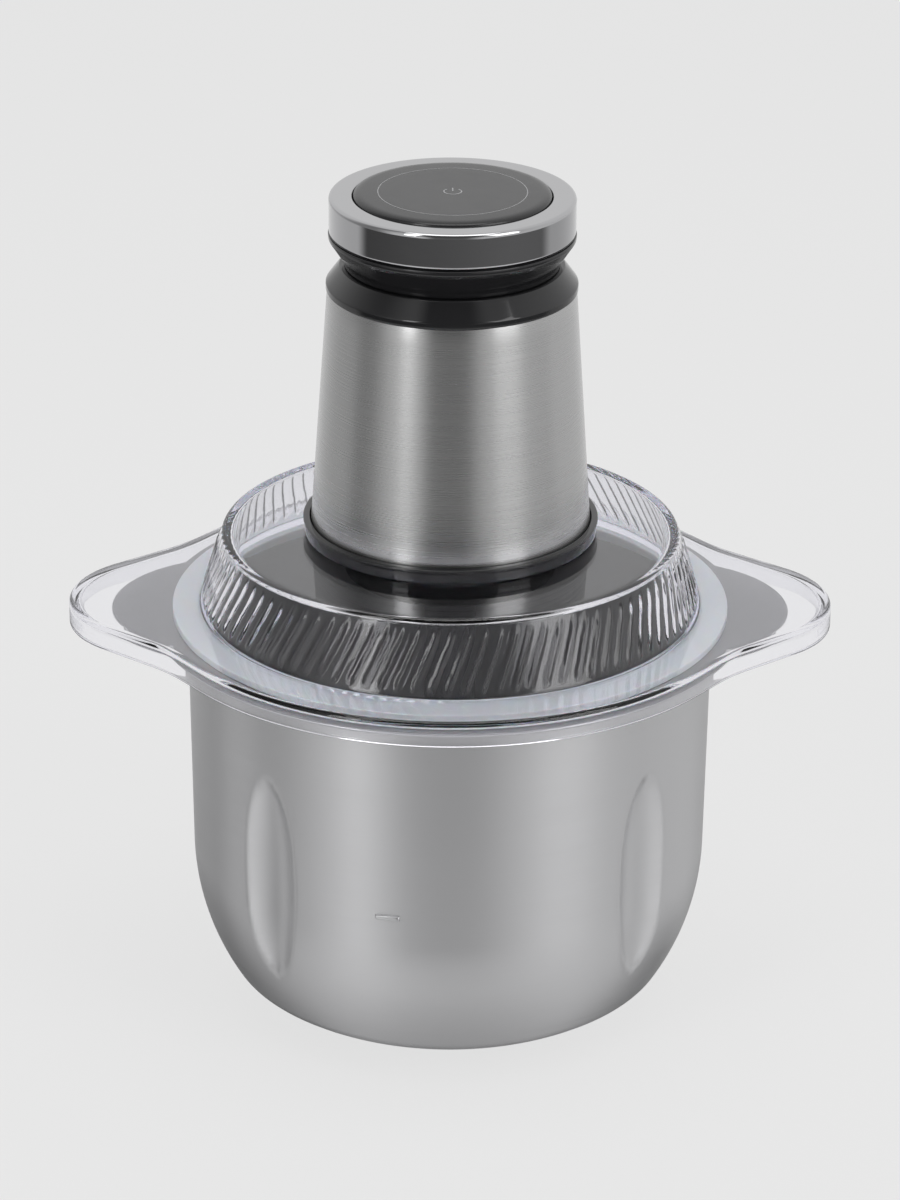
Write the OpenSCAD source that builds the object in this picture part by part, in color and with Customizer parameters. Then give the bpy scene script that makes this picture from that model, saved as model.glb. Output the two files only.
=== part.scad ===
// Electric food chopper: a steel bowl, a clear domed lid and a motor head on top.
// The motor turns a planetary gear set, which turns the blades on a pin in the bowl.
// Millimetres, +Z up, base of the bowl at z = 0, front at -Y, lid wings along X.

/* [Bowl] */
// outer radius of the bowl at the top of its wall
bowl_r = 86.2; // [84.2:0.2:88.2]
// how much narrower the wall gets towards the belly
bowl_taper = 1; // [0.6:0.1:1.6]
// radius of the belly's curve
belly_r = 81.8; // [80.8:0.2:83.4]
// height at which the belly starts to curve in
belly_z = 55.4; // [54.6:0.2:56.4]
// radius of the curve that rises from the flat base
foot_curve_r = 53.2; // [51.2:0.2:54.2]
// how far the edge of the flat base lies inside the top of the wall
base_inset = 46.9; // [46.4:0.1:47.6]
// radius of the rounded corner between those two curves
bowl_corner_r = 10; // [8:0.5:12]
// thickness of the sheet steel
bowl_t = 1; // [0.8:0.1:1.4]
// height of the upper face of the bowl's flange
bowl_h = 135.2; // [132:0.2:138]
// thickness of the flange and of its two ears
flange_t = 1.2; // [1:0.1:1.6]
// width of the flange outside the wall
flange_w = 9.3; // [8:0.1:9.8]
// radius of the round end of an ear
ear_r = 38; // [35:0.5:38.5]
// distance of the centre of that round end from the axis
ear_x = 73; // [71:0.5:73.5]

/* [Flutes in the bowl wall] */
// number of pressed flutes
flute_count = 4; // [2:1:6]
// width of a flute
flute_w = 22; // [16:1:26]
// height of a flute with its round ends
flute_h = 70; // [50:1:76]
// depth of a flute
flute_depth = 3.6; // [2:0.2:5]
// height of the middle of a flute
flute_z = 67; // [64:1:74]
// turn of the first flute from the diagonal
flute_turn = 2.5; // [0:0.5:6]

/* [Blade pin in the bowl] */
// radius of the pin
pin_r = 4; // [3.5:0.1:4.5]
// height of the pin above the bowl floor
pin_h = 112; // [100:1:118]
// radius of the disc that is welded to the floor
pin_disc_r = 17; // [14:0.5:22]
// thickness of that disc
pin_disc_t = 2.4; // [1.6:0.2:3]

/* [Blade set] */
// radius of the hub stem
stem_r = 8.4; // [8:0.1:9]
// radius of the foot under the lower blade
foot_r = 15; // [13:0.5:18]
// height of that foot
foot_h = 10; // [8:0.5:12]
// gap between the foot and the pin's disc
foot_gap = 0.3; // [0.2:0.1:0.6]
// radius of the sleeve between the blades
spacer_r = 12; // [11:0.25:14]
// height of the sleeve between the blades
spacer_h = 38; // [30:1:44]
// radius of the grip above the blades
grip_r = 13; // [12:0.25:15]
// height of the grip
grip_h = 34; // [24:1:38]
// thickness of a blade
blade_t = 1.6; // [1.2:0.1:2]
// gap between the tip of the lower blade and the bowl's belly
low_blade_gap = 8.6; // [6:0.2:12]
// gap between the tip of the upper blade and the flutes
high_blade_gap = 7.6; // [5:0.2:10]
// width of a blade wing
blade_w = 17; // [14:0.5:20]
// width of the ground bevel
bevel_w = 5; // [3:0.5:6]
// radius of the round grooves in the grip
grip_groove_r = 2; // [1.5:0.1:2.5]
// length of the grip that stays plain at each end
grip_plain_h = 4; // [3:0.5:6]
// side of the square socket in the stem
socket_w = 9.4; // [9:0.1:9.8]
// depth of the socket
socket_h = 13; // [12:0.5:15]
// gap from the top of the hub to the motor spigot
hub_gap = 2; // [1:0.25:3]

/* [Clear lid] */
// height of the flat plate above the bowl flange
lid_h = 29.2; // [27:0.2:31]
// wall thickness of the lid
lid_t = 2.8; // [2.4:0.1:3.2]
// radius of the flat plate at the top
lid_top_r = 74.4; // [73:0.2:76]
// radius of the rounded rim of the plate
lid_rim_r = 2; // [1:0.25:2.5]
// outer radius of the sloping wall at its foot
lid_foot_r = 82.5; // [82:0.25:84]
// thickness of the flange
lid_flange_t = 2.5; // [2:0.1:3]
// height of the flange with its skirt
skirt_h = 8.6; // [7.5:0.2:9]
// thickness of the skirt
skirt_t = 2.4; // [2:0.1:3]
// gap between the skirt and the bowl's flange
skirt_gap = 0.6; // [0.3:0.1:1]
// radius of the round tip of a wing
wing_r = 33; // [31:0.5:35]
// distance of the centre of that tip from the axis
wing_x = 92; // [90:0.5:93]
// angle at which the straight side leaves the tip
wing_side = 65; // [60:1:70]
// distance from the axis at which a wing starts under the flange
wing_root_x = 70; // [66:1:76]
// radius of the rounded upper edge of the flange
flange_edge_r = 1.6; // [1:0.2:2]
// number of slanted ribs on the sloping wall
rib_count = 96; // [60:4:108]
// radius of a rib's rod
rib_r = 1.6; // [1.2:0.1:1.8]
// depth of the rod's axis under the wall's face
rib_sink = 1; // [0.8:0.1:1.2]
// length of a rib
rib_h = 18.5; // [12:0.5:20]
// lean of a rib
rib_lean = 22; // [10:1:25]
// shift of the ribs up the wall
rib_up = 1; // [0:0.25:1.5]

/* [Silicone seal] */
// thickness of the seal between the flanges
seal_t = 2.4; // [2:0.1:3]
// width of the seal on the bowl's flange
seal_w = 4.8; // [4:0.1:5.8]
// inner radius of the seal's thin lip
seal_in_r = 78; // [76:0.5:79]
// thickness of that lip
seal_lip_t = 1.4; // [1:0.1:1.8]
// depth of the plug that reaches into the bowl
seal_plug_h = 4; // [3:0.5:6]
// width of the plug
seal_plug_w = 2.2; // [1.6:0.1:3]

/* [Motor base] */
// width of the base ring outside the sleeve
base_rim_w = 2.6; // [2:0.1:3.2]
// setback of the base ring's foot under its rim
base_step = 0.3; // [0.1:0.1:0.6]
// height of the base ring
base_h = 4.4; // [4:0.2:5]
// height of the raised lip round the sleeve
base_lip_h = 0.6; // [0.4:0.1:1]
// radius of the spigot that goes through the lid
spigot_r = 34.6; // [34.4:0.1:35]
// depth of the spigot under the base ring
spigot_h = 15.4; // [15:0.2:16]
// thickness of the spigot floor
spigot_floor = 2.6; // [2.2:0.2:3]
// radial gap between the spigot and the lid
spigot_gap = 0.3; // [0.2:0.05:0.5]

/* [Gear set] */
// gear module
gear_m = 1; // [0.98:0.01:1.02]
// teeth of the sun pinion
sun_teeth = 12; // [12:1:12]
// teeth of a planet gear
planet_teeth = 18; // [18:1:18]
// number of planet gears
planet_count = 3; // [3:1:3]
// pressure angle
pressure = 25; // [24:0.5:26]
// play between two flanks
backlash = 0.16; // [0.12:0.02:0.24]
// thickness of the planet gears
gear_h = 8; // [7:0.5:8.5]
// outer radius of the ring gear
ring_r = 31; // [30.5:0.1:31.3]
// height of the ring gear
ring_h = 12; // [11.5:0.1:12.2]
// radius of the planet pins
planet_pin_r = 2; // [1.6:0.1:2.4]
// radius of the carrier
carrier_r = 20; // [18.5:0.5:22]
// thickness of the carrier
carrier_t = 3; // [2.6:0.1:3.2]
// radius of the output shaft
output_r = 5; // [4.5:0.1:5.5]
// side of the square drive under the spigot
drive_w = 8.8; // [8.6:0.1:8.9]
// length of the square drive
drive_h = 12; // [10:0.5:14]
// thickness of the gearbox plate
gear_plate_t = 2.2; // [2:0.1:2.6]

/* [Motor] */
// radius of the armature shaft
shaft_r = 3; // [2.8:0.05:3.2]
// radius of the armature core
core_r = 16.4; // [16:0.1:17]
// number of armature slots
core_slots = 12; // [8:1:14]
// height of the stator stack and of the armature core
stack_h = 30; // [24:1:32]
// height of the middle of the stack above the base ring
stack_z = 38; // [37:0.5:39]
// air gap between the armature and the poles
air_gap = 0.6; // [0.5:0.1:1]
// radial gap between the stator stack and the housing
stator_gap = 0.4; // [0.2:0.1:0.8]
// height of the end turns of the windings
end_turn_h = 5.5; // [4:0.5:6]
// radius of the commutator
comm_r = 9; // [8:0.25:10]
// height of the commutator
comm_h = 11; // [10:0.5:12]
// number of commutator bars
comm_bars = 24; // [16:2:28]
// radial gap between the cooling fan and the housing's ledge
fan_gap = 2; // [1:0.25:4]
// height of the cooling fan
fan_h = 9; // [7:0.5:9.5]
// number of fan blades
fan_blades = 12; // [8:1:16]
// side of a carbon brush
brush_w = 6; // [5:0.25:6.5]

/* [Motor housing and sleeve] */
// outer radius of the inner housing
housing_r = 38; // [37.8:0.05:38.2]
// wall of the inner housing
housing_t = 2; // [1.8:0.1:2.2]
// height of the inner housing
housing_h = 74.2; // [73.8:0.1:74.6]
// gap between the housing and the top of the steel sleeve
sleeve_gap = 1.1; // [0.9:0.05:1.4]
// how much wider the steel sleeve is at the bottom
sleeve_taper = 5.5; // [5:0.1:6]
// height of the steel sleeve
sleeve_h = 78.6; // [78:0.2:79]
// thickness of the steel sleeve
sleeve_t = 0.8; // [0.6:0.1:0.9]
// thickness of the upper bearing bracket
bracket_t = 3; // [2.6:0.1:3.2]

/* [Collar and head] */
// how far the collar stands out over the sleeve
collar_proud = 0.4; // [0.2:0.05:0.7]
// wall of the collar's tube inside the sleeve
collar_wall = 2.4; // [2:0.1:3]
// height of the collar above the sleeve
collar_h = 8.2; // [7.6:0.2:8.8]
// radius of the collar's rounded shoulder
shoulder_r = 5.5; // [4:0.5:6]
// setback of the head's narrow part from the collar's edge
neck_step = 6.1; // [5.7:0.1:6.4]
// flare of the head from its narrow part to the chrome ring
head_flare = 5.3; // [4.8:0.1:5.8]
// height of the flared part of the head
head_h = 10; // [9.4:0.2:10.6]
// setback of the chrome ring from the head's edge
chrome_step = 0.2; // [0.1:0.05:0.4]
// height of the chrome ring
chrome_h = 12.3; // [11.8:0.1:12.8]
// width of the flat top of the chrome ring
chrome_w = 7.5; // [7:0.1:7.6]
// thickness of the chrome ring
chrome_t = 1.6; // [1.4:0.1:1.8]
// radius of the round edge of the chrome ring
chrome_edge_r = 1.2; // [0.8:0.1:1.4]
// groove between the head and the chrome ring
ring_groove = 0.4; // [0.3:0.1:0.6]

/* [Push button] */
// radial gap between the button and the chrome ring
button_gap = 0.3; // [0.2:0.05:0.5]
// height of the button above the chrome ring
button_proud = 1.2; // [0.8:0.1:1.6]
// width of the rounded edge of the button
button_edge = 2.4; // [1.6:0.2:3]
// travel of the button
button_travel = 3; // [2:0.25:3]
// radius of the plunger under the button
plunger_r = 6; // [5:0.25:7]
// radius of the return spring
spring_r = 12; // [10:0.5:14]
// radius of the spring wire
spring_wire_r = 0.6; // [0.5:0.05:0.8]
// turns of the return spring
spring_turns = 4; // [3:1:5]

/* [Small parts] */
// running clearance of every turning or sliding fit
run_gap = 0.05; // [0.04:0.01:0.08]
// clearance of a fixed seat
seat_gap = 0.02; // [0.01:0.01:0.04]
// axial play of turning parts
end_play = 0.3; // [0.2:0.05:0.4]
// radius of a housing screw
screw_r = 1.6; // [1.4:0.1:1.8]
// radius of the head of a housing screw
screw_head_r = 2.7; // [2.4:0.1:2.9]
// distance of the housing screws outside the housing
screw_step = 3; // [2.9:0.05:3.1]
// radius of the cord hole at the back of the collar
cord_hole_r = 2.6; // [2:0.2:3]

/* [Hidden] */
$fn = 96;
tiny = 0.01;
fine = 32;

// bowl
low_r = bowl_r - bowl_taper;
belly_c = [low_r - belly_r, belly_z];
foot_c = [bowl_r - base_inset, foot_curve_r];
corner_c = meeting_point(belly_c, belly_r - bowl_corner_r, foot_c, foot_curve_r - bowl_corner_r);
halfway = (belly_c + corner_c) / 2;
corner_proud = 0.02;
belly_way = (corner_c - belly_c) / (belly_r - bowl_corner_r);
foot_way = (corner_c - foot_c) / (foot_curve_r - bowl_corner_r);
flange_r = bowl_r + flange_w;
flute_cut_r = (flute_w * flute_w / 4 + flute_depth * flute_depth) / (2 * flute_depth);
flute_x = low_r + flute_cut_r - flute_depth + bowl_taper / 4;
flute_half = flute_h / 2 - flute_w / 2;

// blade pin and blade set
floor_z = bowl_t;
disc_top = floor_z + pin_disc_t;
pin_top = floor_z + pin_h;
lid_plate_z = bowl_h + lid_h;
spigot_z = lid_plate_z - spigot_h;
hub_bottom = disc_top + foot_gap;
low_blade_z = hub_bottom + foot_h;
spacer_z = low_blade_z + blade_t;
high_blade_z = spacer_z + spacer_h;
grip_z = high_blade_z + blade_t;
hub_top = spigot_z - hub_gap;
low_blade_r = belly_c[0] + sqrt(pow(belly_r - bowl_t, 2) - pow(belly_z - low_blade_z, 2)) - low_blade_gap;
high_blade_r = low_r - bowl_t - flute_depth - high_blade_gap;
wing_back_x = blade_w / 6;
wing_back_y = blade_w * 1.25;
wing_cut_y = blade_w / 8;
bevel_z = blade_t * 0.3;
bevel_slope = 1.4;
groove_count = 8;

// lid and seal
lid_flange_z = bowl_h + seal_t;
lid_flange_top = lid_flange_z + lid_flange_t;
skirt_in_r = flange_r + skirt_gap;
lid_flange_r = skirt_in_r + skirt_t;
lid_hole_r = spigot_r + spigot_gap;
seal_out_r = bowl_r + seal_w;
plug_out_r = bowl_r - bowl_t - end_play;

// sleeve, collar and head from the housing outwards
housing_in_r = housing_r - housing_t;
sleeve_top_r = housing_r + sleeve_gap + sleeve_t;
sleeve_low_r = sleeve_top_r + sleeve_taper;
collar_r = sleeve_top_r + collar_proud;
neck_r = collar_r - neck_step;
head_r = neck_r + head_flare;
chrome_r = head_r - chrome_step;
screw_circle_r = housing_r + screw_step;

// motor base and gears
base_r = sleeve_low_r + base_rim_w;
base_top = lid_plate_z + base_h;
spigot_in_r = ring_r + seat_gap;
ring_seat_z = spigot_z + spigot_floor + carrier_t / 2;
ring_top = ring_seat_z + ring_h;
plate_ledge = 1.4;
plate_r = spigot_in_r + plate_ledge;
plate_top = ring_top + gear_plate_t;
ring_ledge = 2.5;
screw_hole_step = 1;
sun_r = gear_m * sun_teeth / 2;
planet_r = gear_m * planet_teeth / 2;
ring_teeth = sun_teeth + 2 * planet_teeth;
ring_pitch_r = gear_m * ring_teeth / 2;
orbit_r = sun_r + planet_r;
bush_wall = 2.5;
bush_r = output_r + run_gap + bush_wall;
bush_flange_w = 2;
bush_flange_r = bush_r + bush_flange_w;
bush_flange_t = 0.6;
gear_dedendum = 1.25 * gear_m;
sun_dedendum = 1.2 * gear_m;
carrier_z = spigot_z + spigot_floor + bush_flange_t + end_play / 3;
planet_z = carrier_z + carrier_t + end_play;
drive_z = spigot_z - drive_h;
drive_step = 1;
drive_pin_r = output_r / 2;
drive_floor = 2;
pin_seat = 0.5;
pin_proud = 0.6;

// motor
stack_low = base_top + stack_z - stack_h / 2;
stack_top = stack_low + stack_h;
bearing_h = 5;
bearing_r = 8;
bearing_wall = 1.8;
bearing_step = 0.8;
low_bearing_z = plate_top + bearing_step;
pinion_gap = 0.6;
low_boss_top = low_bearing_z + bearing_h;
fan_z = low_boss_top + end_play;
housing_top = base_top + housing_h;
housing_flange_t = 3;
screw_seat_edge = 0.2;
housing_flange_r = screw_circle_r + screw_head_r - screw_seat_edge;
ledge_h = 2;
ledge_w = 4;
ledge_in_r = housing_in_r - ledge_w;
stator_r = housing_in_r - stator_gap;
fan_r = ledge_in_r - fan_gap;
fan_disc_t = 1.6;
fan_hub_w = 3;
fan_blade_t = 1.4;
fan_blade_gap = 1;
fan_blade_x = shaft_r + fan_hub_w + fan_blade_gap;
pole_r = core_r + air_gap;
yoke_t = 4.5;
window_half = 52;
sector_reach = 1.6;
winding_gap = 2;
slot_r = 1.6;
slot_x = core_r - 1.75 * slot_r;
slot_mouth = 1;
winding_step = 1.6;
comm_z = stack_top + end_turn_h + winding_gap;
comm_groove_w = 0.5;
comm_groove_h = 0.8;
up_bearing_step = 0.4;
up_bearing_z = housing_top + up_bearing_step;
up_bearing_h = 4.4;
up_bearing_r = 6.5;
up_bearing_ledge = 1.5;
up_boss_r = up_bearing_r + bearing_wall;
bracket_top = housing_top + bracket_t;
bracket_hole_r = (housing_r - up_boss_r) / 4;
bracket_hole_x = (housing_r + up_boss_r) / 2 - end_play;
shaft_end_step = 0.2;
shaft_top = up_bearing_z + up_bearing_h - shaft_end_step;
shaft_low = planet_z + 2 * run_gap;
brush_z = comm_z + comm_h / 2;
brush_sink = 1;
holder_gap = 1.5;
holder_x = comm_r + holder_gap;
holder_end = 6.5;
holder_len = housing_in_r - holder_end - holder_x;
holder_floor = 2;
holder_wall = 1.6;
screw_tip_step = 1.5;
screw_head_h = 2.2;
screw_slot_w = 0.8;
screw_slot_l = 3.6;
screw_slot_h = 1;
screw_seat_z = base_top + housing_flange_t;
screw_head_z = screw_seat_z + screw_head_h;

// sleeve, collar and head
sleeve_top = base_top + sleeve_h;
collar_top = sleeve_top + collar_h;
head_top = collar_top + head_h;
chrome_z = head_top + ring_groove;
chrome_top = chrome_z + chrome_h;
chrome_in_r = chrome_r - chrome_w;
chrome_plate_t = 2.3;
carry_r = chrome_r - chrome_t - end_play;
carry_t = 2;
shell_ledge_h = 6.4;
shell_ledge_z = collar_top + shell_ledge_h;
shell_spigot_h = 5.6;
shell_low = collar_top - shell_spigot_h;
shell_step = 1.2;
shell_spigot_r = neck_r - shell_step;
shell_wall = 2.2;
shell_band_h = 0.6;
groove_depth = 0.8;
collar_plate_t = 3;

// button
button_r = chrome_in_r - button_gap;
button_top = chrome_top + button_proud;
button_flange_top = chrome_top - chrome_plate_t - end_play;
button_flange_t = 2.6;
button_low = button_flange_top - button_flange_t;
button_flange_gap = 1.6;
button_flange_r = carry_r - carry_t - button_flange_gap;
button_wall = 4;
guide_z = shell_ledge_z;
guide_t = 2;
guide_tube_h = 5.4;
guide_tube_wall = 2;
guide_tube_r = plunger_r + run_gap + guide_tube_wall;
plunger_step = 1;
plunger_low = guide_z - plunger_step;
plunger_top = button_low + button_flange_t - plunger_step;
plunger_disc_t = 1.6;
plunger_disc_r = spring_r + 2;
switch_gap = 0.1;
switch_nub_h = 0.9;
switch_nub_r = 1.5;
switch_nub_top = plunger_low - button_travel - switch_gap;
switch_body_top = switch_nub_top - switch_nub_h;
stage_gap = 1.4;
stage_z = up_bearing_z + up_bearing_h + stage_gap;
stage_t = 1.6;
stage_w = 14;
stage_leg_x = (housing_r + stage_t) / 2 - stage_t / 2;
switch_l = 20;
switch_w = 6.4;

// a ring or disc between two heights
module ring(r_out, r_in, z_low, z_high) {
    translate([0, 0, z_low])
        difference() {
            cylinder(r = r_out, h = z_high - z_low);
            if (r_in > 0)
                translate([0, 0, -tiny])
                    cylinder(r = r_in, h = z_high - z_low + 2 * tiny);
        }
}

// a box that is centred on the axis in x and y
module block(size_x, size_y, z_low, z_high) {
    translate([-size_x / 2, -size_y / 2, z_low])
        cube([size_x, size_y, z_high - z_low]);
}

// involute function in degrees
function inv(angle) = tan(angle) * 180 / PI - angle;

// half of a tooth's angle at one radius
function half_tooth(teeth, radius, play) =
    90 / teeth - play / (gear_m * teeth) * 180 / PI + inv(pressure)
    - inv(acos(min(1, gear_m * teeth / 2 * cos(pressure) / radius)));

// points of one flank from the root to the tip
function flank(teeth, root_r, tip_r, play) = let (
        base_circle = gear_m * teeth / 2 * cos(pressure),
        start_r = max(root_r, base_circle),
        steps = 5)
    concat(
        root_r < base_circle ? [[root_r, half_tooth(teeth, base_circle, play)]] : [],
        [for (i = [0 : steps]) let (r = start_r + (tip_r - start_r) * i / steps)
            [r, half_tooth(teeth, r, play)]]);

// closed outline of a spur gear, one tooth centred on +X
function gear_points(teeth, root_r, tip_r, play) = let (
        side = flank(teeth, root_r, tip_r, play),
        last = len(side) - 1)
    [for (tooth = [0 : teeth - 1]) let (middle = tooth * 360 / teeth)
        each concat(
            [for (i = [0 : last]) side[i][0] * [cos(middle - side[i][1]), sin(middle - side[i][1])]],
            [for (i = [last : -1 : 0]) side[i][0] * [cos(middle + side[i][1]), sin(middle + side[i][1])]])];

// lower one of the two points that lie at the given distances from two centres
function meeting_point(c1, r1, c2, r2) = let (
        d = norm(c2 - c1),
        way = (c2 - c1) / d,
        along = (r1 * r1 - r2 * r2 + d * d) / (2 * d),
        down = sqrt(r1 * r1 - along * along))
    c1 + along * way + down * [way[1], -way[0]];

// solid of the bowl's body up to the given height, made smaller by the given amount: the
// curves of foot and belly end inside the rounded corner, which is a hair proud of both, and
// a polygon between their ends fills the inside
module bowl_body(less, top) {
    rotate_extrude() {
        intersection() {
            translate(foot_c)
                circle(r = foot_curve_r - less);
            polygon([foot_c, foot_c - [0, 2 * foot_curve_r], foot_c + 2 * foot_curve_r * foot_way]);
        }
        translate(corner_c)
            circle(r = bowl_corner_r + corner_proud - less);
        intersection() {
            translate(belly_c)
                circle(r = belly_r - less);
            polygon([halfway, belly_c + 2 * belly_r * belly_way, belly_c + [2 * belly_r, 0],
                [halfway[0], belly_z]]);
        }
        polygon([[0, less], [foot_c[0], less], foot_c + (foot_curve_r - less) * foot_way,
            belly_c + (belly_r - less) * belly_way, [low_r - less, belly_z],
            [bowl_r - less, bowl_h - flange_t], [bowl_r - less, top], [0, top]]);
    }
}

// round-ended cutters that press the flutes
module flute_cutters(more) {
    for (i = [0 : flute_count - 1])
        rotate([0, 0, 45 + flute_turn + i * 360 / flute_count])
            translate([flute_x, 0, flute_z]) {
                translate([0, 0, -flute_half])
                    cylinder(r = flute_cut_r + more, h = 2 * flute_half);
                for (end = [-1, 1])
                    translate([0, 0, end * flute_half])
                        sphere(r = flute_cut_r + more);
            }
}

// outline of the bowl's flange with its ears
module flange_outline() {
    circle(r = flange_r);
    intersection() {
        for (side = [-1, 1])
            translate([side * ear_x, 0])
                circle(r = ear_r);
        difference() {
            square([2 * (ear_x + ear_r) + 2, 2 * ear_r], center = true);
            circle(r = bowl_r);
        }
    }
}

module bowl() {
    color("silver")
        difference() {
            union() {
                difference() {
                    bowl_body(0, bowl_h);
                    flute_cutters(0);
                }
                translate([0, 0, bowl_h - flange_t])
                    linear_extrude(flange_t)
                        flange_outline();
            }
            difference() {
                bowl_body(bowl_t, bowl_h + 1);
                flute_cutters(bowl_t);
            }
        }
}

module spindle_pin() {
    color("lightgray") {
        ring(pin_disc_r, 0, floor_z, disc_top);
        ring(pin_r, 0, disc_top, pin_top - pin_r);
        translate([0, 0, pin_top - pin_r])
            sphere(r = pin_r);
    }
}

module blade_hub() {
    color("dimgray")
        difference() {
            union() {
                ring(foot_r, 0, hub_bottom, low_blade_z);
                ring(stem_r, 0, low_blade_z, hub_top);
            }
            translate([0, 0, hub_bottom - tiny])
                cylinder(r = pin_r + run_gap, h = pin_top + end_play - hub_bottom);
            block(socket_w, socket_w, hub_top - socket_h, hub_top + tiny);
        }
}

// one curved wing of a blade, seen from above
module wing_outline(reach) {
    arc_r = reach / 2 + blade_w / 4;
    difference() {
        translate([reach / 2, -blade_w / 2])
            circle(r = arc_r);
        translate([reach / 2 - wing_back_x, -wing_back_y])
            circle(r = arc_r);
        translate([-reach, -2 * reach])
            square([reach, 3 * reach]);
        translate([-reach, -3 * reach])
            square([3 * reach, 3 * reach - wing_cut_y]);
    }
}

// two-winged blade with a ground bevel on the outer edge of each wing
module blade(reach, z_low) {
    arc_r = reach / 2 + blade_w / 4;
    translate([0, 0, z_low])
        difference() {
            union() {
                intersection() {
                    union() {
                        for (turn = [0, 180])
                            rotate([0, 0, turn])
                                linear_extrude(blade_t)
                                    wing_outline(reach);
                    }
                    cylinder(r = reach, h = blade_t);
                }
                cylinder(r = spacer_r, h = blade_t);
            }
            for (turn = [0, 180])
                rotate([0, 0, turn])
                    difference() {
                        translate([reach / 2, -blade_w / 2, bevel_z])
                            difference() {
                                cylinder(r = arc_r + bevel_w, h = blade_t);
                                cylinder(r1 = arc_r, r2 = arc_r - bevel_w * bevel_slope, h = blade_t);
                            }
                        translate([0, 0, -tiny])
                            cylinder(r = spacer_r + blade_t, h = 2 * blade_t);
                        translate([-3 * reach, -2 * reach, -tiny])
                            cube([3 * reach, 4 * reach, 2 * blade_t]);
                    }
            translate([0, 0, -tiny])
                cylinder(r = stem_r + seat_gap, h = blade_t + 2 * tiny);
        }
}

module lower_blade() {
    color("silver")
        blade(low_blade_r, low_blade_z);
}

module upper_blade() {
    color("silver")
        rotate([0, 0, 90])
            blade(high_blade_r, high_blade_z);
}

module blade_spacer() {
    color("dimgray")
        ring(spacer_r, stem_r + seat_gap, spacer_z, high_blade_z);
}

module blade_grip() {
    color("dimgray")
        difference() {
            ring(grip_r, stem_r + seat_gap, grip_z, grip_z + grip_h);
            for (i = [0 : groove_count - 1])
                rotate([0, 0, i * 360 / groove_count])
                    translate([grip_r + grip_groove_r / 2, 0, grip_z + grip_plain_h])
                        cylinder(r = grip_groove_r, h = grip_h - 2 * grip_plain_h, $fn = fine);
        }
}

// outline of the lid's flange and wings, made smaller by the given amount
module lid_outline(less) {
    circle(r = lid_flange_r - less);
    for (side = [-1, 1])
        mirrored(side) {
            translate([wing_x, 0])
                circle(r = wing_r - less);
            polygon([wing_tip(less), wing_root(less), wing_root(less) - [0, 2 * wing_root(less)[1]],
                wing_tip(less) - [0, 2 * wing_tip(less)[1]]]);
        }
}

// where the straight side of a wing meets its round tip, and where it ends under the flange
function wing_tip(less) = [wing_x, 0] + (wing_r - less) * [cos(wing_side), sin(wing_side)];
function wing_root(less) = let (tip = wing_tip(less))
    [wing_root_x, tip[1] + (tip[0] - wing_root_x) / tan(wing_side)];

// the same shape or its mirror image in x
module mirrored(side) {
    if (side < 0)
        mirror([1, 0, 0])
            children();
    else
        children();
}

// a round bead that rounds off the upper edge of a disc
module edge_bead(disc_r) {
    rotate_extrude()
        translate([disc_r - flange_edge_r, 0])
            circle(r = flange_edge_r, $fn = fine);
}

// flange with wings and skirt as one solid plate, its upper edge rounded
module lid_plate() {
    linear_extrude(skirt_h - flange_edge_r)
        lid_outline(0);
    linear_extrude(skirt_h)
        lid_outline(flange_edge_r);
    translate([0, 0, skirt_h - flange_edge_r]) {
        edge_bead(lid_flange_r);
        for (side = [-1, 1])
            mirrored(side) {
                translate([wing_x, 0, 0])
                    edge_bead(wing_r);
                for (way = [-1, 1])
                    translate([wing_root(flange_edge_r)[0], way * wing_root(flange_edge_r)[1], 0])
                        rotate([0, 90, way * (wing_side - 90)])
                            cylinder(r = flange_edge_r - seat_gap, $fn = fine,
                                h = norm(wing_tip(flange_edge_r) - wing_root(flange_edge_r)));
            }
    }
}

// slanted ribs on the sloping wall
module lid_ribs() {
    tilt = atan((lid_foot_r - lid_top_r) / (lid_plate_z - lid_rim_r - lid_flange_z));
    middle_r = (lid_foot_r + lid_top_r) / 2 - rib_sink;
    middle_z = (lid_plate_z - lid_rim_r + lid_flange_z) / 2 + rib_up;
    for (i = [0 : rib_count - 1])
        rotate([0, 0, i * 360 / rib_count])
            translate([middle_r, 0, middle_z])
                rotate([0, -tilt, 0])
                    rotate([-rib_lean, 0, 0])
                        cylinder(r = rib_r, h = rib_h, center = true, $fn = 24);
}

module lid() {
    color([0.75, 0.75, 0.85, 0.5]) {
        difference() {
            translate([0, 0, lid_flange_top - skirt_h])
                lid_plate();
            translate([0, 0, lid_flange_top - skirt_h - tiny])
                linear_extrude(skirt_h - lid_flange_t + tiny)
                    lid_outline(skirt_t);
            translate([0, 0, lid_flange_z - tiny])
                cylinder(r = lid_foot_r - lid_t, h = lid_flange_t + 2 * tiny);
        }
        lid_ribs();
        rotate_extrude() {
            polygon([[lid_hole_r, lid_plate_z - lid_t], [lid_hole_r, lid_plate_z],
                [lid_top_r - lid_rim_r, lid_plate_z],
                [lid_top_r - lid_rim_r, lid_plate_z - lid_rim_r],
                [lid_top_r, lid_plate_z - lid_rim_r],
                [lid_foot_r, lid_flange_z], [lid_foot_r - lid_t, lid_flange_z],
                [lid_top_r - lid_t, lid_plate_z - lid_t]]);
            translate([lid_top_r - lid_rim_r, lid_plate_z - lid_rim_r])
                circle(r = lid_rim_r);
        }
    }
}

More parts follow.
